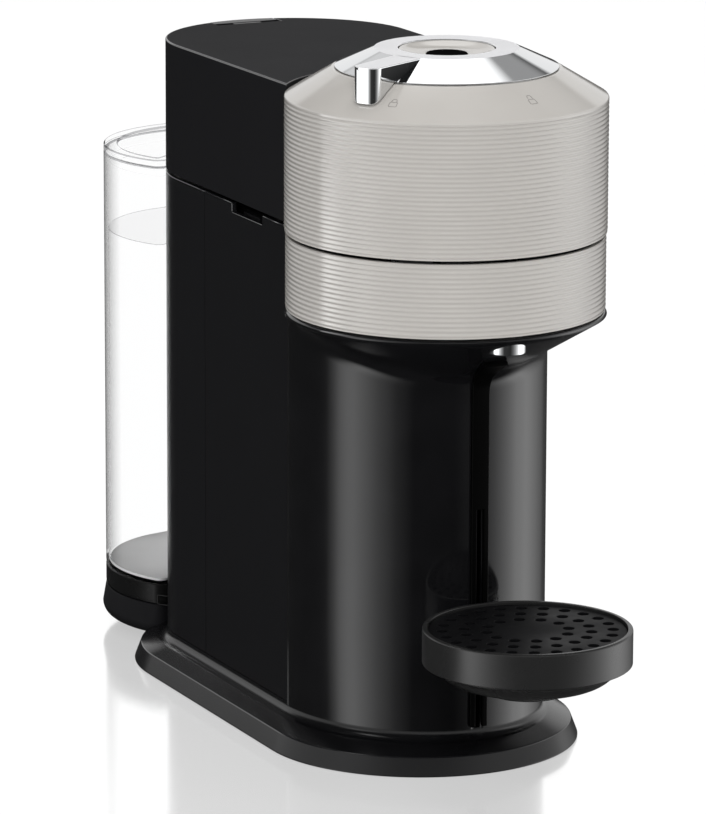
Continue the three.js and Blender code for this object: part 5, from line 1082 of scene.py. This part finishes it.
class MACHINE_OT_marks(Operator):
    """Lock signs on the drum's shoulder"""

    bl_idname = "machine.marks"
    bl_label = "Lock signs"

    def execute(self, context):
        parts = []
        for direction, distance, lift in LOCK_SIGNS:
            parts += lock_mark(math.radians(direction), distance, lift)
        add_piece("lock_marks", parts, "head", ["icon"])
        return {"FINISHED"}


class MACHINE_OT_button(Operator):
    """Round button in the lever's dish"""

    bl_idname = "machine.button"
    bl_label = "Button"

    def execute(self, context):
        low, high = span("brew_button")
        radius, top = high[0], high[2] + BUTTON_LIFT
        shaft, plate, crown_height, rim = 3, 3, 0.25, 0.6
        crown = np.linspace(1, 0, 9)
        crown = np.column_stack([(radius - rim) * crown, top - crown_height * crown**2])
        profile = np.concatenate([
            [(0, low[2]), (shaft, low[2]), (shaft, top - plate), (radius - 0.2, top - plate),
             (radius, top - plate + 0.2)],
            soften([(radius, top - 2), (radius, top - crown_height), (radius - rim, top - crown_height)],
                   [0, 0.5, 0], False, 6), crown[1:]])
        add_piece("button", [turned(profile, steps=96, closed=False)], "button",
                  ["button_black"], ["brew_button"], sharp=40)
        return {"FINISHED"}


# ------------------------------------------------------------------ coffee outlet, cup support and grid
class MACHINE_OT_outlet(Operator):
    """Chromed coffee outlet under the drum"""

    bl_idname = "machine.outlet"
    bl_label = "Coffee outlet"

    def execute(self, context):
        low, high = span("coffee_outlet")
        centre = (0, (low[1] + high[1]) / 2)
        radius, bottom, top, wall, lip = high[0], low[2] + OUTLET_LIFT, high[2], 2.4, 1.4
        profile = soften([(radius - wall, bottom + 0.6), (radius - lip, bottom), (radius, bottom),
                          (radius, top), (radius - wall, top)], [0.4, 0.5, 0.7, 0.2, 0.2], steps=6)
        add_piece("outlet_tube", [turned(profile, centre, 96)], "body", ["chrome"],
                  ["coffee_outlet"], sharp=50)
        return {"FINISHED"}


class MACHINE_OT_support(Operator):
    """Cup support: wall with its ledge, neck, tongue and hook, and the bowl under it"""

    bl_idname = "machine.support"
    bl_label = "Cup support"

    def execute(self, context):
        centre, radius = (0, SUPPORT_CENTRE), SUPPORT_RADIUS
        inner = radius - SUPPORT_WALL
        ledge = inner - SUPPORT_LEDGE_WIDTH
        rim, bottom = SUPPORT_RIM, SUPPORT_RIM - SUPPORT_WALL_HEIGHT
        ledge_z = rim - SUPPORT_LEDGE_DEPTH
        profile = soften([(ledge, bottom), (radius, bottom), (radius, rim), (inner, rim), (inner, ledge_z),
                          (ledge, ledge_z)], [0.2, 0.5, 0.9, 0.4, 0.2, 0.3], steps=6)
        neck_end = COLUMN_FRONT - RAIL_PROUD - RUNNING_GAP
        hook_end = COLUMN_FRONT + HOOK_REACH
        hook_start, hook_bottom = hook_end - HOOK_THICKNESS, ledge_z - TONGUE_HEIGHT
        parts = [turned(profile, centre, 192)]
        for half, start, stop, foot in (
                (NECK_HALF_WIDTH, SUPPORT_CENTRE + radius - NECK_ROOT, neck_end, bottom),
                (TONGUE_HALF_WIDTH, neck_end - HOOK_OVERLAP, hook_start + HOOK_OVERLAP, hook_bottom),
                (HOOK_HALF_WIDTH, hook_start, hook_end, hook_bottom)):
            parts += block((-half, start, foot), (half, stop, ledge_z))
        piece = add_piece("support_wall", parts, "support", ["support_grey"],
                          ["cup_support"], sharp=35)
        weigh_normals(piece)

        low, high = span("support_bowl")
        top, bottom = high[2], low[2] - BOWL_DROP
        depth, wall = top - bottom, 2.3
        shares = [(0, 0), (0.36, 0.0), (0.955, 0.96), (0.955, 1.04)]
        curve = soften([(radius * across, bottom + depth * up) for across, up in shares],
                       [0, 14, 0.5, 0], closed=False, steps=8)
        lining = soften([(ledge - 0.2, top + 0.6), (0.78 * radius, bottom + 0.32 * depth + wall),
                         (0.5 * radius, bottom + wall + 0.6), (0, bottom + wall)], [0, 20, 30, 0], False, 6)
        profile = np.concatenate([curve, lining])
        add_piece("support_dish", [turned(profile, centre, 192, closed=False)], "support",
                  ["support_grey"], ["support_bowl"], sharp=40)
        return {"FINISHED"}


def grid_cells(circle, count, pitch, top, bottom, per_side=4, around=144):
    """Cells of one circle of holes: each cell's border drawn in to a round hole, above and below.

    A border point b maps to centre + radius (b - centre) / |b - centre| on the hole's edge.
    """
    per_arc = around // count
    inner, outer = circle - pitch / 2, circle + pitch / 2
    half = math.pi / count
    spread_out = np.linspace(-half, half, per_arc + 1)
    rise = np.linspace(inner, outer, per_side + 1)
    radius = np.concatenate([np.full(per_arc, outer), rise[::-1][:-1], np.full(per_arc, inner), rise[:-1]])
    angle = np.concatenate([spread_out[:-1], np.full(per_side, half), spread_out[::-1][:-1],
                            np.full(per_side, -half)])
    border = np.column_stack([radius * np.cos(angle), radius * np.sin(angle)])
    centre = np.array([circle, 0])
    towards = (border - centre) / np.linalg.norm(border - centre, axis=1)[:, None]
    layers = [(border, top)]
    for out, down in ((1, 0), (1 / 3, 1 / 3), (0, 1)):
        edge = centre + towards * (GRID_HOLE_RADIUS + GRID_HOLE_EDGE * out)
        layers.append((edge, top - GRID_HOLE_EDGE * down))
    layers += [(edge, bottom), (border, bottom)]
    cell = np.stack([np.column_stack([flat, np.full(len(flat), z)]) for flat, z in layers])
    parts = []
    for k in range(count):
        turn = (k + 0.5) * TAU / count
        x = cell[..., 0] * math.cos(turn) - cell[..., 1] * math.sin(turn)
        y = cell[..., 0] * math.sin(turn) + cell[..., 1] * math.cos(turn)
        parts.append(sheet(np.stack([x, y + SUPPORT_CENTRE, cell[..., 2]], -1)))
    return parts


class MACHINE_OT_grid(Operator):
    """Perforated grid of the cup support"""

    bl_idname = "machine.grid"
    bl_label = "Drip grid"

    def execute(self, context):
        top, bottom = GRID_HIGH[2], GRID_LOW[2]
        radius = GRID_HIGH[0]
        centre = (0, SUPPORT_CENTRE)
        pitch = GRID_CIRCLES[0][0] - GRID_CIRCLES[1][0]
        parts = []
        for circle, count in GRID_CIRCLES:
            parts += grid_cells(circle, count, pitch, top, bottom)
        border = GRID_CIRCLES[0][0] + pitch / 2
        middle = GRID_CIRCLES[-1][0] - pitch / 2
        rim = soften([(border, bottom), (radius, bottom), (radius, top), (border, top)],
                     [0, 0.3, 0.4, 0], closed=False, steps=4)
        parts.append(turned(rim, centre, 144, closed=False))
        parts.append(turned([(middle, top), (0, top)], centre, 144, closed=False))
        parts.append(turned([(middle, bottom), (0, bottom)], centre, 144, closed=False))
        piece = add_piece("grid_plate", parts, "grid", ["grid_black"], ["drip_grid"],
                          sharp=30)
        weigh_normals(piece)
        return {"FINISHED"}


# ------------------------------------------------------------------ water tank
def tank_places(piece):
    """Distance from the tank's axis and height of the middle of each face, in millimetres."""
    middles = faces_of(piece)[0]
    return np.hypot(middles[:, 0], middles[:, 1] - TANK_CENTRE), middles[:, 2]


class MACHINE_OT_tank(Operator):
    """Clear water tank with lid, collar, water and the dock it stands in"""

    bl_idname = "machine.tank"
    bl_label = "Water tank"

    def execute(self, context):
        low, high, floor = TANK_LOW[2], TANK_HIGH[2], TANK_FLOOR
        outer = soften([(3, low), (0, low), (0, high), (TANK_WALL, high), (TANK_WALL, floor), (4.2, floor)],
                       [0, 1.2, 0.7, 0.7, 1.5, 0], closed=False, steps=6)
        piece = add_piece("tank_clear", solid(carried(tank_outline, outer)), "tank",
                          ["clear", "clear_inside", "clear_edge_painted_shade"], ["water_tank"])
        away, up = tank_places(piece)
        # the top rim's roundings take the dark edge tint: painted shade
        rim, outside, floor_edge = up > high - 0.72, away > TANK_RADIUS - 0.5, up < low + 3
        finish_faces(piece, np.where(floor_edge, 1, np.where(rim, 2, np.where(outside, 0, 1))))
        weigh_normals(piece)

        near, far, bottom, top = TANK_WALL + 0.02, TANK_WALL + 1.5, floor - 1.2, floor + 0.12
        plate = soften([(far, bottom), (near, bottom), (near, top), (far, top)], [0, 0.3, 0.3, 0], False, 3)
        add_piece("tank_floor", solid(carried(tank_outline, plate)), "tank",
                  ["frosted"])

        level = context.scene.machine_sizes.water_level / MM
        near, bottom = TANK_WALL + 0.15, floor + 0.15
        water = soften([(near + 1.6, bottom), (near, bottom), (near, level), (near + 1.5, level)],
                       [0, 1.2, 0.3, 0], False, 4)
        piece = add_piece("tank_water", solid(carried(tank_outline, water)), "tank",
                          ["water", "water_top_painted_shade", "clear_edge_painted_shade"])
        up = tank_places(piece)[1]
        # the water's top takes the grey tint and the ring at its edge the dark edge tint: painted shade
        surface, edge = up > level - 0.02, up > level - 0.35
        finish_faces(piece, np.where(surface, 1, np.where(edge, 2, 0)))

        low, high = span("tank_lid")
        plate, top = TANK_HIGH[2] + GAP, high[2]
        near, far = TANK_WALL + 0.4, TANK_WALL + 2
        rings = carried(tank_outline, soften(
            [(far, plate), (far, low[2]), (near, low[2]), (near, plate), (0, plate), (0, top), (1.2, top)],
            [0, 0.4, 0.4, 0.2, 0.3, 0.8, 0], closed=False, steps=4))
        recess = []
        for move, drop in ((-0.4, 0), (0, 0.25), (0.2, LID_RECESS - 0.2), (0.6, LID_RECESS)):
            border = LID_BORDER + move
            flat = crescent(TANK_RADIUS - border, TANK_FRONT_RADIUS + border, LID_HORN - move / 2)
            recess.append(np.column_stack([flat, np.full(len(flat), top - drop)]))
        recess = np.stack(recess)
        join = np.stack([rings[-1], recess[0]])
        piece = add_piece("lid_clear",
                          [sheet(rings), cap(rings[0]), sheet(join), sheet(recess), cap(recess[-1])],
                          "lid", ["clear_inside", "clear_edge_painted_shade"], ["tank_lid"])
        up = tank_places(piece)[1]
        # the lid's upper and lower edges take the dark edge tint: painted shade
        upper_edge = (up > top - 0.8) & (up < top - 0.01)
        lower_edge = (up > plate + 0.02) & (up < plate + 0.4)
        finish_faces(piece, upper_edge | lower_edge)
        weigh_normals(piece)

        low, high = span("tank_collar")
        foot, step = 0.5, low[2] + 1.2
        band = soften([(3, low[2]), (foot, low[2]), (foot, step), (0, step), (0, high[2]), (3, high[2])],
                      [0, 0.3, 0.1, 0.2, 0.5, 0], closed=False, steps=4)
        half, (down, up) = BAND_SIGN_HALF_WIDTH, BAND_SIGN_HEIGHTS
        frame_path = soften([(-half, down), (half, down), (half, up), (-half, up)], [0.3] * 4, steps=3)
        rows = line_on(frame_path, BAND_SIGN_LINE, BAND_SIGN_PROUD, True)
        turned_by = math.radians(BAND_SIGN) + rows[..., 0] / TANK_RADIUS
        away = TANK_RADIUS - 0.02 + rows[..., 2]
        rows = np.stack([away * np.cos(turned_by), TANK_CENTRE + away * np.sin(turned_by), rows[..., 1]], -1)
        piece = add_piece("tank_band", solid(carried(tank_outline, band)) + [sheet(rows)], "tank",
                          ["collar_black"], ["tank_collar"])
        weigh_normals(piece)

        low, high = span("tank_dock")
        turn = np.linspace(0, math.pi / 2, 9)
        bottom = np.column_stack([DOCK_ROUNDING * (1 - np.sin(turn)) - DOCK_FLARE,
                                  low[2] + DOCK_ROUNDING * (1 - np.cos(turn))])
        wall = soften([bottom[-1], (0, DOCK_TOP), (3, DOCK_TOP)], [0, 0.6, 0], False, 5)
        rings = carried(tank_outline, np.concatenate([bottom, wall[1:]]))
        piece = add_piece("dock_body", solid(rings), "body", ["matt_black"],
                          ["tank_dock"])
        weigh_normals(piece)
        return {"FINISHED"}


# ------------------------------------------------------------------ hinge bracket
class MACHINE_OT_hinge(Operator):
    """Deck behind the container with the bracket that carries the head's hinge"""

    bl_idname = "machine.hinge"
    bl_label = "Hinge bracket"

    def execute(self, context):
        front = span("rear_deck")[0][1]
        half = HALF_WIDTH - BODY_WALL - GAP
        rear = arc(REAR_CENTRE, half, half, 0, math.pi, 72)
        plate = np.concatenate([[(half, front)], rear, [(-half, front)]])
        deck_bottom, bracket_bottom = DECK_TOP - DECK_THICKNESS, LOWER_TOP + GAP
        parts = prism(plate, deck_bottom, DECK_TOP)

        wide = BRACKET_HALF_WIDTH
        angle = math.acos(wide / HALF_WIDTH)
        outer = arc(REAR_CENTRE, HALF_WIDTH, HALF_WIDTH, angle, math.pi - angle, 16)
        bracket = np.concatenate([outer, [(-wide, BRACKET_FRONT), (wide, BRACKET_FRONT)]])
        bracket_top = COVER_TOP - (BODY_REAR - COVER_LEVEL_Y) * COVER_FALL
        parts += prism(bracket, bracket_bottom, bracket_top)
        depth = math.sqrt(half**2 - wide**2) + REAR_CENTRE
        parts += block((-wide, BRACKET_FRONT - BRACKET_ROOT, deck_bottom), (wide, depth, bracket_bottom))

        middle, radius = BRACKET_KNUCKLE_HALF_WIDTH, BRACKET_KNUCKLE - KNUCKLE_SHRINK
        turn = np.linspace(math.pi / 2, 3 * math.pi / 2, 25)
        root = BRACKET_FRONT + 1
        section = np.concatenate([
            np.column_stack([HINGE_Y + radius * np.cos(turn), HINGE_Z + radius * np.sin(turn)]),
            [(root, HINGE_Z - radius), (root, HINGE_Z + radius)]])
        parts += solid(np.stack([np.column_stack([np.full(len(section), x), section])
                                 for x in (-middle, middle)]))
        piece = add_piece("hinge_bracket", parts, "body", ["satin_black"], ["rear_deck"])
        round_edges(piece, 0.2)
        return {"FINISHED"}


# ------------------------------------------------------------------ inner pieces
INNER_FINISHES = {
    "beige_plastic": "beige", "black_satin": "matt_black", "black_gloss": "gloss_black",
    "dark_grey_plastic": "dark_grey", "chrome": "chrome", "steel": "steel", "aluminium": "aluminium",
    "rubber": "rubber", "clear_plastic": "clear", "white_plastic": "white", "green_board": "board",
}


class MACHINE_OT_inner(Operator):
    """Finishes of the CAD nodes that stay as they are"""

    bl_idname = "machine.inner"
    bl_label = "Inner pieces"

    def execute(self, context):
        slots = {row["node"]: row["material_slot"] for row in frame["record"]["subparts"]}
        for name, node in frame["nodes"].items():
            if node.hide_render:
                continue
            finish = material(INNER_FINISHES[slots[name]])
            node.data.materials.clear()
            node.data.materials.append(finish)
        return {"FINISHED"}


# ------------------------------------------------------------------ stage
AROUND = (  # direction round the machine in degrees, 0 in front and 90 on the right, and its brightness
    (-180, 0.04), (-148, 0.048), (-130, 0.048), (-118, 0.064), (-112, 0.12), (-106, 0.72), (-101, 1.6),
    (-95, 2.16), (-90, 2.24), (-82, 1.76), (-70, 0.96), (-55, 0.32), (-40, 0.04), (0, 0.024),
    (15, 0.12), (30, 0.36), (45, 0.88), (60, 1.68), (75, 2.4), (90, 2.08), (105, 1.04), (115, 0.56),
    (130, 0.12), (143, 0.048), (180, 0.04),
)
BRIGHTEST = 2.4
BAND_TOP = (28.0, 37.0)  # heights in degrees between which the band round the machine fades out
BAND_FOOT = (-48.0, -28.0)  # and between which it begins
ABOVE_BAND = 0.04
SOFT_LIGHTS = (  # direction round, height, radius fully lit, radius where it ends, brightness
    (158, 53, 12, 20, 1.6),
    (168, 32, 5, 12, 0.72),
    (-160, 19, 5, 12, 1.12),
    (133, 40, 6, 17, 0.34),
)
LOW_RING = (1.0, 4.0, 22.0, 27.0)  # heights between which the even ring over the horizon rises and falls
LOW_RING_SHINE = 0.92
EVEN_SHINE = 0.496  # brightness of the world where it lights matt surfaces
CARD_GAP = 155.0  # the card's distance from the drum's axis
CARD_HEIGHTS = (176.0, 300.0)
CARD_SHINE = (  # place along the machine, brightness
    (45, 3.2), (24, 3.1), (13, 2.6), (1.7, 1.9), (-9.6, 0.9), (-21, 0.3), (-32, 0.0),
)
FLOOR_HALF_SIDE = 12.0
FLOOR_GLOW = 1.3
FLOOR_GLOW_SHARE = 0.78
FLOOR_SLANT = (0.25, 0.8)  # facing values between which the floor's mirror share rises from nothing
FLOOR_MIRROR_SHARE = 0.56
FLOOR_MIRROR_ROUGHNESS = 0.13
LAMPS = (("front_soft", (-0.9, -1.9, 1.4), 34), ("top_soft", (0.05, -0.15, 2.2), 20))  # place, watts
LAMP_SIDE = 1.0
LAMP_TARGET = (0, 0, 0.2)
CAMERA_PLACE = (-1.1353, -2.3139 + AXIS_Y, 0.7536)
CAMERA_TURN = 25.236  # degrees from straight ahead, to the right
CAMERA_TILT = 13.054  # degrees downwards
CAMERA_ROLL = 0.17
CAMERA_LENS = 265.05
CAMERA_SENSOR = 36
CAMERA_REACH = 50


def studio_world(world):
    """White to the camera and through the tank, even light on matt surfaces, and panels seen in gloss.

    The panels are a band round the machine, dark above it, with a few soft lights behind. A direction
    given in degrees lies at turn / 360 + 1/2 of the band, turn being the arc tangent of x over -y.
    """
    world.use_nodes = True
    tree = world.node_tree
    tree.nodes.clear()
    new = tree.nodes.new
    place = new("ShaderNodeTexCoord")
    split = new("ShaderNodeSeparateXYZ")
    link(tree, place.outputs["Generated"], split.inputs["Vector"])

    def feed(sockets, values):
        for socket, value in zip(sockets, values):
            if isinstance(value, (int, float)):
                socket.default_value = value
            else:
                link(tree, value, socket)

    def maths(operation, *values):
        node = new("ShaderNodeMath")
        node.operation = operation
        feed(node.inputs, values)
        return node.outputs["Value"]

    def rise(value, start, stop):
        node = add_node(tree, "ShaderNodeMapRange", From_Min=start, From_Max=stop)
        node.interpolation_type = "SMOOTHSTEP"
        link(tree, value, node.inputs["Value"])
        return node.outputs["Result"]

    def blend(amount, first, second):
        node = new("ShaderNodeMix")
        node.data_type = "FLOAT"
        link(tree, amount, node.inputs["Factor"])
        feed((node.inputs[2], node.inputs[3]), (first, second))
        return node.outputs[0]

    turn = maths("ARCTAN2", split.outputs["X"], maths("MULTIPLY", split.outputs["Y"], -1.0))
    share = maths("ADD", maths("MULTIPLY", turn, 1 / TAU), 0.5)
    ramp = new("ShaderNodeValToRGB")
    stops = ramp.color_ramp.elements
    for index, (degrees, _) in enumerate(AROUND):
        position = degrees / 360 + 0.5
        stop = stops[index] if index < 2 else stops.new(position)
        stop.position = position
    for stop, (degrees, value) in zip(sorted(stops, key=lambda s: s.position), AROUND):
        stop.color = (value / BRIGHTEST, value / BRIGHTEST, value / BRIGHTEST, 1)
    link(tree, share, ramp.inputs["Fac"])
    band = maths("MULTIPLY", ramp.outputs["Color"], BRIGHTEST)
    fade = rise(split.outputs["Z"], *(math.sin(math.radians(height)) for height in BAND_TOP))
    gloss = blend(fade, band, ABOVE_BAND)
    foot = rise(split.outputs["Z"], *(math.sin(math.radians(height)) for height in BAND_FOOT))
    gloss = blend(foot, ABOVE_BAND, gloss)
    up, lit, dim, down = (math.sin(math.radians(height)) for height in LOW_RING)
    gloss = blend(rise(split.outputs["Z"], up, lit), gloss,
                  blend(rise(split.outputs["Z"], dim, down), LOW_RING_SHINE, gloss))
    for around, height, inner, outer, value in SOFT_LIGHTS:
        around, height = math.radians(around), math.radians(height)
        flat = math.cos(height)
        dot = new("ShaderNodeVectorMath")
        dot.operation = "DOT_PRODUCT"
        link(tree, place.outputs["Generated"], dot.inputs[0])
        dot.inputs[1].default_value = (flat * math.sin(around), -flat * math.cos(around), math.sin(height))
        amount = rise(dot.outputs["Value"], math.cos(math.radians(outer)), math.cos(math.radians(inner)))
        gloss = maths("MAXIMUM", gloss, maths("MULTIPLY", amount, value))
    path = new("ShaderNodeLightPath")
    strength = blend(path.outputs["Is Glossy Ray"], EVEN_SHINE, gloss)
    strength = blend(path.outputs["Is Transmission Ray"], strength, 1.0)
    strength = blend(path.outputs["Is Camera Ray"], strength, 1.0)
    background = new("ShaderNodeBackground")
    output = new("ShaderNodeOutputWorld")
    background.inputs["Color"].default_value = (1, 1, 1, 1)
    link(tree, strength, background.inputs["Strength"])
    link(tree, background.outputs["Background"], output.inputs["Surface"])
    world.cycles.sampling_method = "NONE"


def floor_material():
    """Pale floor: white to the camera, with the machine's soft shadow and a faint reflection of it."""
    finish = bpy.data.materials.new("floor_pale")
    finish.use_nodes = True
    tree = finish.node_tree
    tree.nodes.clear()
    new = tree.nodes.new
    diffuse = add_node(tree, "ShaderNodeBsdfDiffuse", Color=(0.9, 0.9, 0.9, 1))
    glow = add_node(tree, "ShaderNodeEmission", Strength=FLOOR_GLOW)
    lit = new("ShaderNodeMixShader")
    lit.inputs[0].default_value = FLOOR_GLOW_SHARE
    mirror = add_node(tree, "ShaderNodeBsdfGlossy", Color=(1, 1, 1, 1), Roughness=FLOOR_MIRROR_ROUGHNESS)
    pale = new("ShaderNodeMixShader")
    slant = add_node(tree, "ShaderNodeLayerWeight", Blend=0.5)
    share = spread(tree, slant.outputs["Facing"], 0.0, FLOOR_MIRROR_SHARE, *FLOOR_SLANT)
    clear = new("ShaderNodeBsdfTransparent")
    path = new("ShaderNodeLightPath")
    seen = new("ShaderNodeMath")
    seen.operation = "MAXIMUM"
    by_sight = new("ShaderNodeMixShader")
    by_gloss = new("ShaderNodeMixShader")
    output = new("ShaderNodeOutputMaterial")
    for source, target in (
            (diffuse.outputs[0], lit.inputs[1]), (glow.outputs[0], lit.inputs[2]),
            (share, pale.inputs[0]), (lit.outputs[0], pale.inputs[1]), (mirror.outputs[0], pale.inputs[2]),
            (path.outputs["Is Camera Ray"], seen.inputs[0]),
            (path.outputs["Is Transmission Ray"], seen.inputs[1]),
            (seen.outputs[0], by_sight.inputs[0]), (diffuse.outputs[0], by_sight.inputs[1]),
            (pale.outputs[0], by_sight.inputs[2]), (path.outputs["Is Glossy Ray"], by_gloss.inputs[0]),
            (by_sight.outputs[0], by_gloss.inputs[1]), (clear.outputs[0], by_gloss.inputs[2]),
            (by_gloss.outputs[0], output.inputs["Surface"])):
        link(tree, source, target)
    return finish


def drum_card(scene):
    """Narrow bright card beside the drum, seen only in gloss: even at the rear, fading to the front."""
    along = np.array(CARD_SHINE)[:, 0] * MM + AXIS_Y
    rows = [np.column_stack([np.full(len(along), -CARD_GAP * MM), along, np.full(len(along), z * MM)])
            for z in CARD_HEIGHTS]
    points = np.concatenate(rows)
    count = len(along)
    faces = [(k, k + 1, k + 1 + count, k + count) for k in range(count - 1)]
    mesh = bpy.data.meshes.new("drum_card")
    mesh.from_pydata(points.tolist(), [], faces)
    shine = mesh.attributes.new("shine", "FLOAT", "POINT")
    shine.data.foreach_set("value", np.tile(np.array(CARD_SHINE)[:, 1], 2).astype(np.float32))
    finish = bpy.data.materials.new("card_light")
    finish.use_nodes = True
    tree = finish.node_tree
    tree.nodes.clear()
    strength = tree.nodes.new("ShaderNodeAttribute")
    strength.attribute_name = "shine"
    glow = tree.nodes.new("ShaderNodeEmission")
    clear = tree.nodes.new("ShaderNodeBsdfTransparent")
    both = tree.nodes.new("ShaderNodeAddShader")
    output = tree.nodes.new("ShaderNodeOutputMaterial")
    link(tree, strength.outputs["Fac"], glow.inputs["Strength"])
    link(tree, glow.outputs[0], both.inputs[0])
    link(tree, clear.outputs[0], both.inputs[1])
    link(tree, both.outputs[0], output.inputs["Surface"])
    mesh.materials.append(finish)
    card = bpy.data.objects.new("drum_card", mesh)
    scene.collection.objects.link(card)
    card.visible_camera = card.visible_diffuse = card.visible_shadow = card.visible_transmission = False


def aim(thing, place, target):
    """Sets a lamp at a place, its -Z axis towards the target."""
    thing.location = place
    thing.rotation_euler = (Vector(target) - Vector(place)).to_track_quat("-Z", "Y").to_euler()


class MACHINE_OT_stage(Operator):
    """Floor, studio light and camera"""

    bl_idname = "machine.stage"
    bl_label = "Stage"

    def execute(self, context):
        scene = context.scene
        scene.view_settings.view_transform = "Standard"
        side = FLOOR_HALF_SIDE
        corners = np.array([(-side, -side, 0), (side, -side, 0), (side, side, 0), (-side, side, 0)])
        mesh = bpy.data.meshes.new("floor")
        mesh.from_pydata(corners.tolist(), [], [(0, 1, 2, 3)])
        mesh.materials.append(floor_material())
        floor = bpy.data.objects.new("floor", mesh)
        scene.collection.objects.link(floor)
        world = bpy.data.worlds.new("studio")
        scene.world = world
        studio_world(world)
        drum_card(scene)

        for name, place, power in LAMPS:
            lamp = bpy.data.lights.new(name, "AREA")
            lamp.size = LAMP_SIDE
            lamp.energy = power
            holder = bpy.data.objects.new(name, lamp)
            scene.collection.objects.link(holder)
            aim(holder, place, LAMP_TARGET)
            holder.visible_glossy = False
            holder.visible_transmission = False
            holder.visible_camera = False

        azimuth, tilt, roll = (math.radians(angle) for angle in (CAMERA_TURN, CAMERA_TILT, CAMERA_ROLL))
        ahead = Vector((math.sin(azimuth), math.cos(azimuth), 0))
        side_way = Vector((math.cos(azimuth), -math.sin(azimuth), 0))
        upward = Vector((0, 0, 1))
        forward = ahead * math.cos(tilt) - upward * math.sin(tilt)
        above = ahead * math.sin(tilt) + upward * math.cos(tilt)
        right = side_way * math.cos(roll) + above * math.sin(roll)
        up = above * math.cos(roll) - side_way * math.sin(roll)
        camera = bpy.data.cameras.new("camera")
        camera.lens = CAMERA_LENS
        camera.sensor_width = CAMERA_SENSOR
        camera.clip_end = CAMERA_REACH
        holder = bpy.data.objects.new("camera", camera)
        scene.collection.objects.link(holder)
        turn = Matrix((right, up, -forward)).transposed()
        holder.matrix_world = Matrix.Translation(CAMERA_PLACE) @ turn.to_4x4()
        scene.camera = holder
        return {"FINISHED"}


class MACHINE_PT_panel(Panel):
    """Lists the machine's pieces"""

    bl_idname = "MACHINE_PT_panel"
    bl_label = "Pod Coffee Machine"
    bl_space_type = "VIEW_3D"
    bl_region_type = "UI"
    bl_category = "Coffee Machine"

    def draw(self, context):
        layout = self.layout
        for operator in OPERATORS:
            layout.operator(operator.bl_idname)
        for group in (context.scene.machine_sizes, context.scene.machine_colours):
            for name in group.bl_rna.properties.keys():
                if name not in ("rna_type", "name"):
                    layout.prop(group, name)


OPERATORS = (
    MACHINE_OT_drums, MACHINE_OT_rear_cover, MACHINE_OT_lower_body, MACHINE_OT_column, MACHINE_OT_base,
    MACHINE_OT_lever, MACHINE_OT_marks, MACHINE_OT_button, MACHINE_OT_outlet, MACHINE_OT_support,
    MACHINE_OT_grid, MACHINE_OT_tank, MACHINE_OT_hinge, MACHINE_OT_inner, MACHINE_OT_stage,
)
CLASSES = (MachineSizes, MachineColours, *OPERATORS, MACHINE_PT_panel)


def register():
    """Registers the classes and hangs the settings on the scene."""
    for item in CLASSES:
        bpy.utils.register_class(item)
    bpy.types.Scene.machine_sizes = PointerProperty(type=MachineSizes)
    bpy.types.Scene.machine_colours = PointerProperty(type=MachineColours)


def unregister():
    """Takes the settings and the classes away again."""
    del bpy.types.Scene.machine_colours
    del bpy.types.Scene.machine_sizes
    for item in reversed(CLASSES):
        bpy.utils.unregister_class(item)


def main():
    """Builds every piece and the stage."""
    register()
    for operator in OPERATORS:
        group, name = operator.bl_idname.split(".")
        getattr(getattr(bpy.ops, group), name)()


if __name__ == "__main__":
    main()
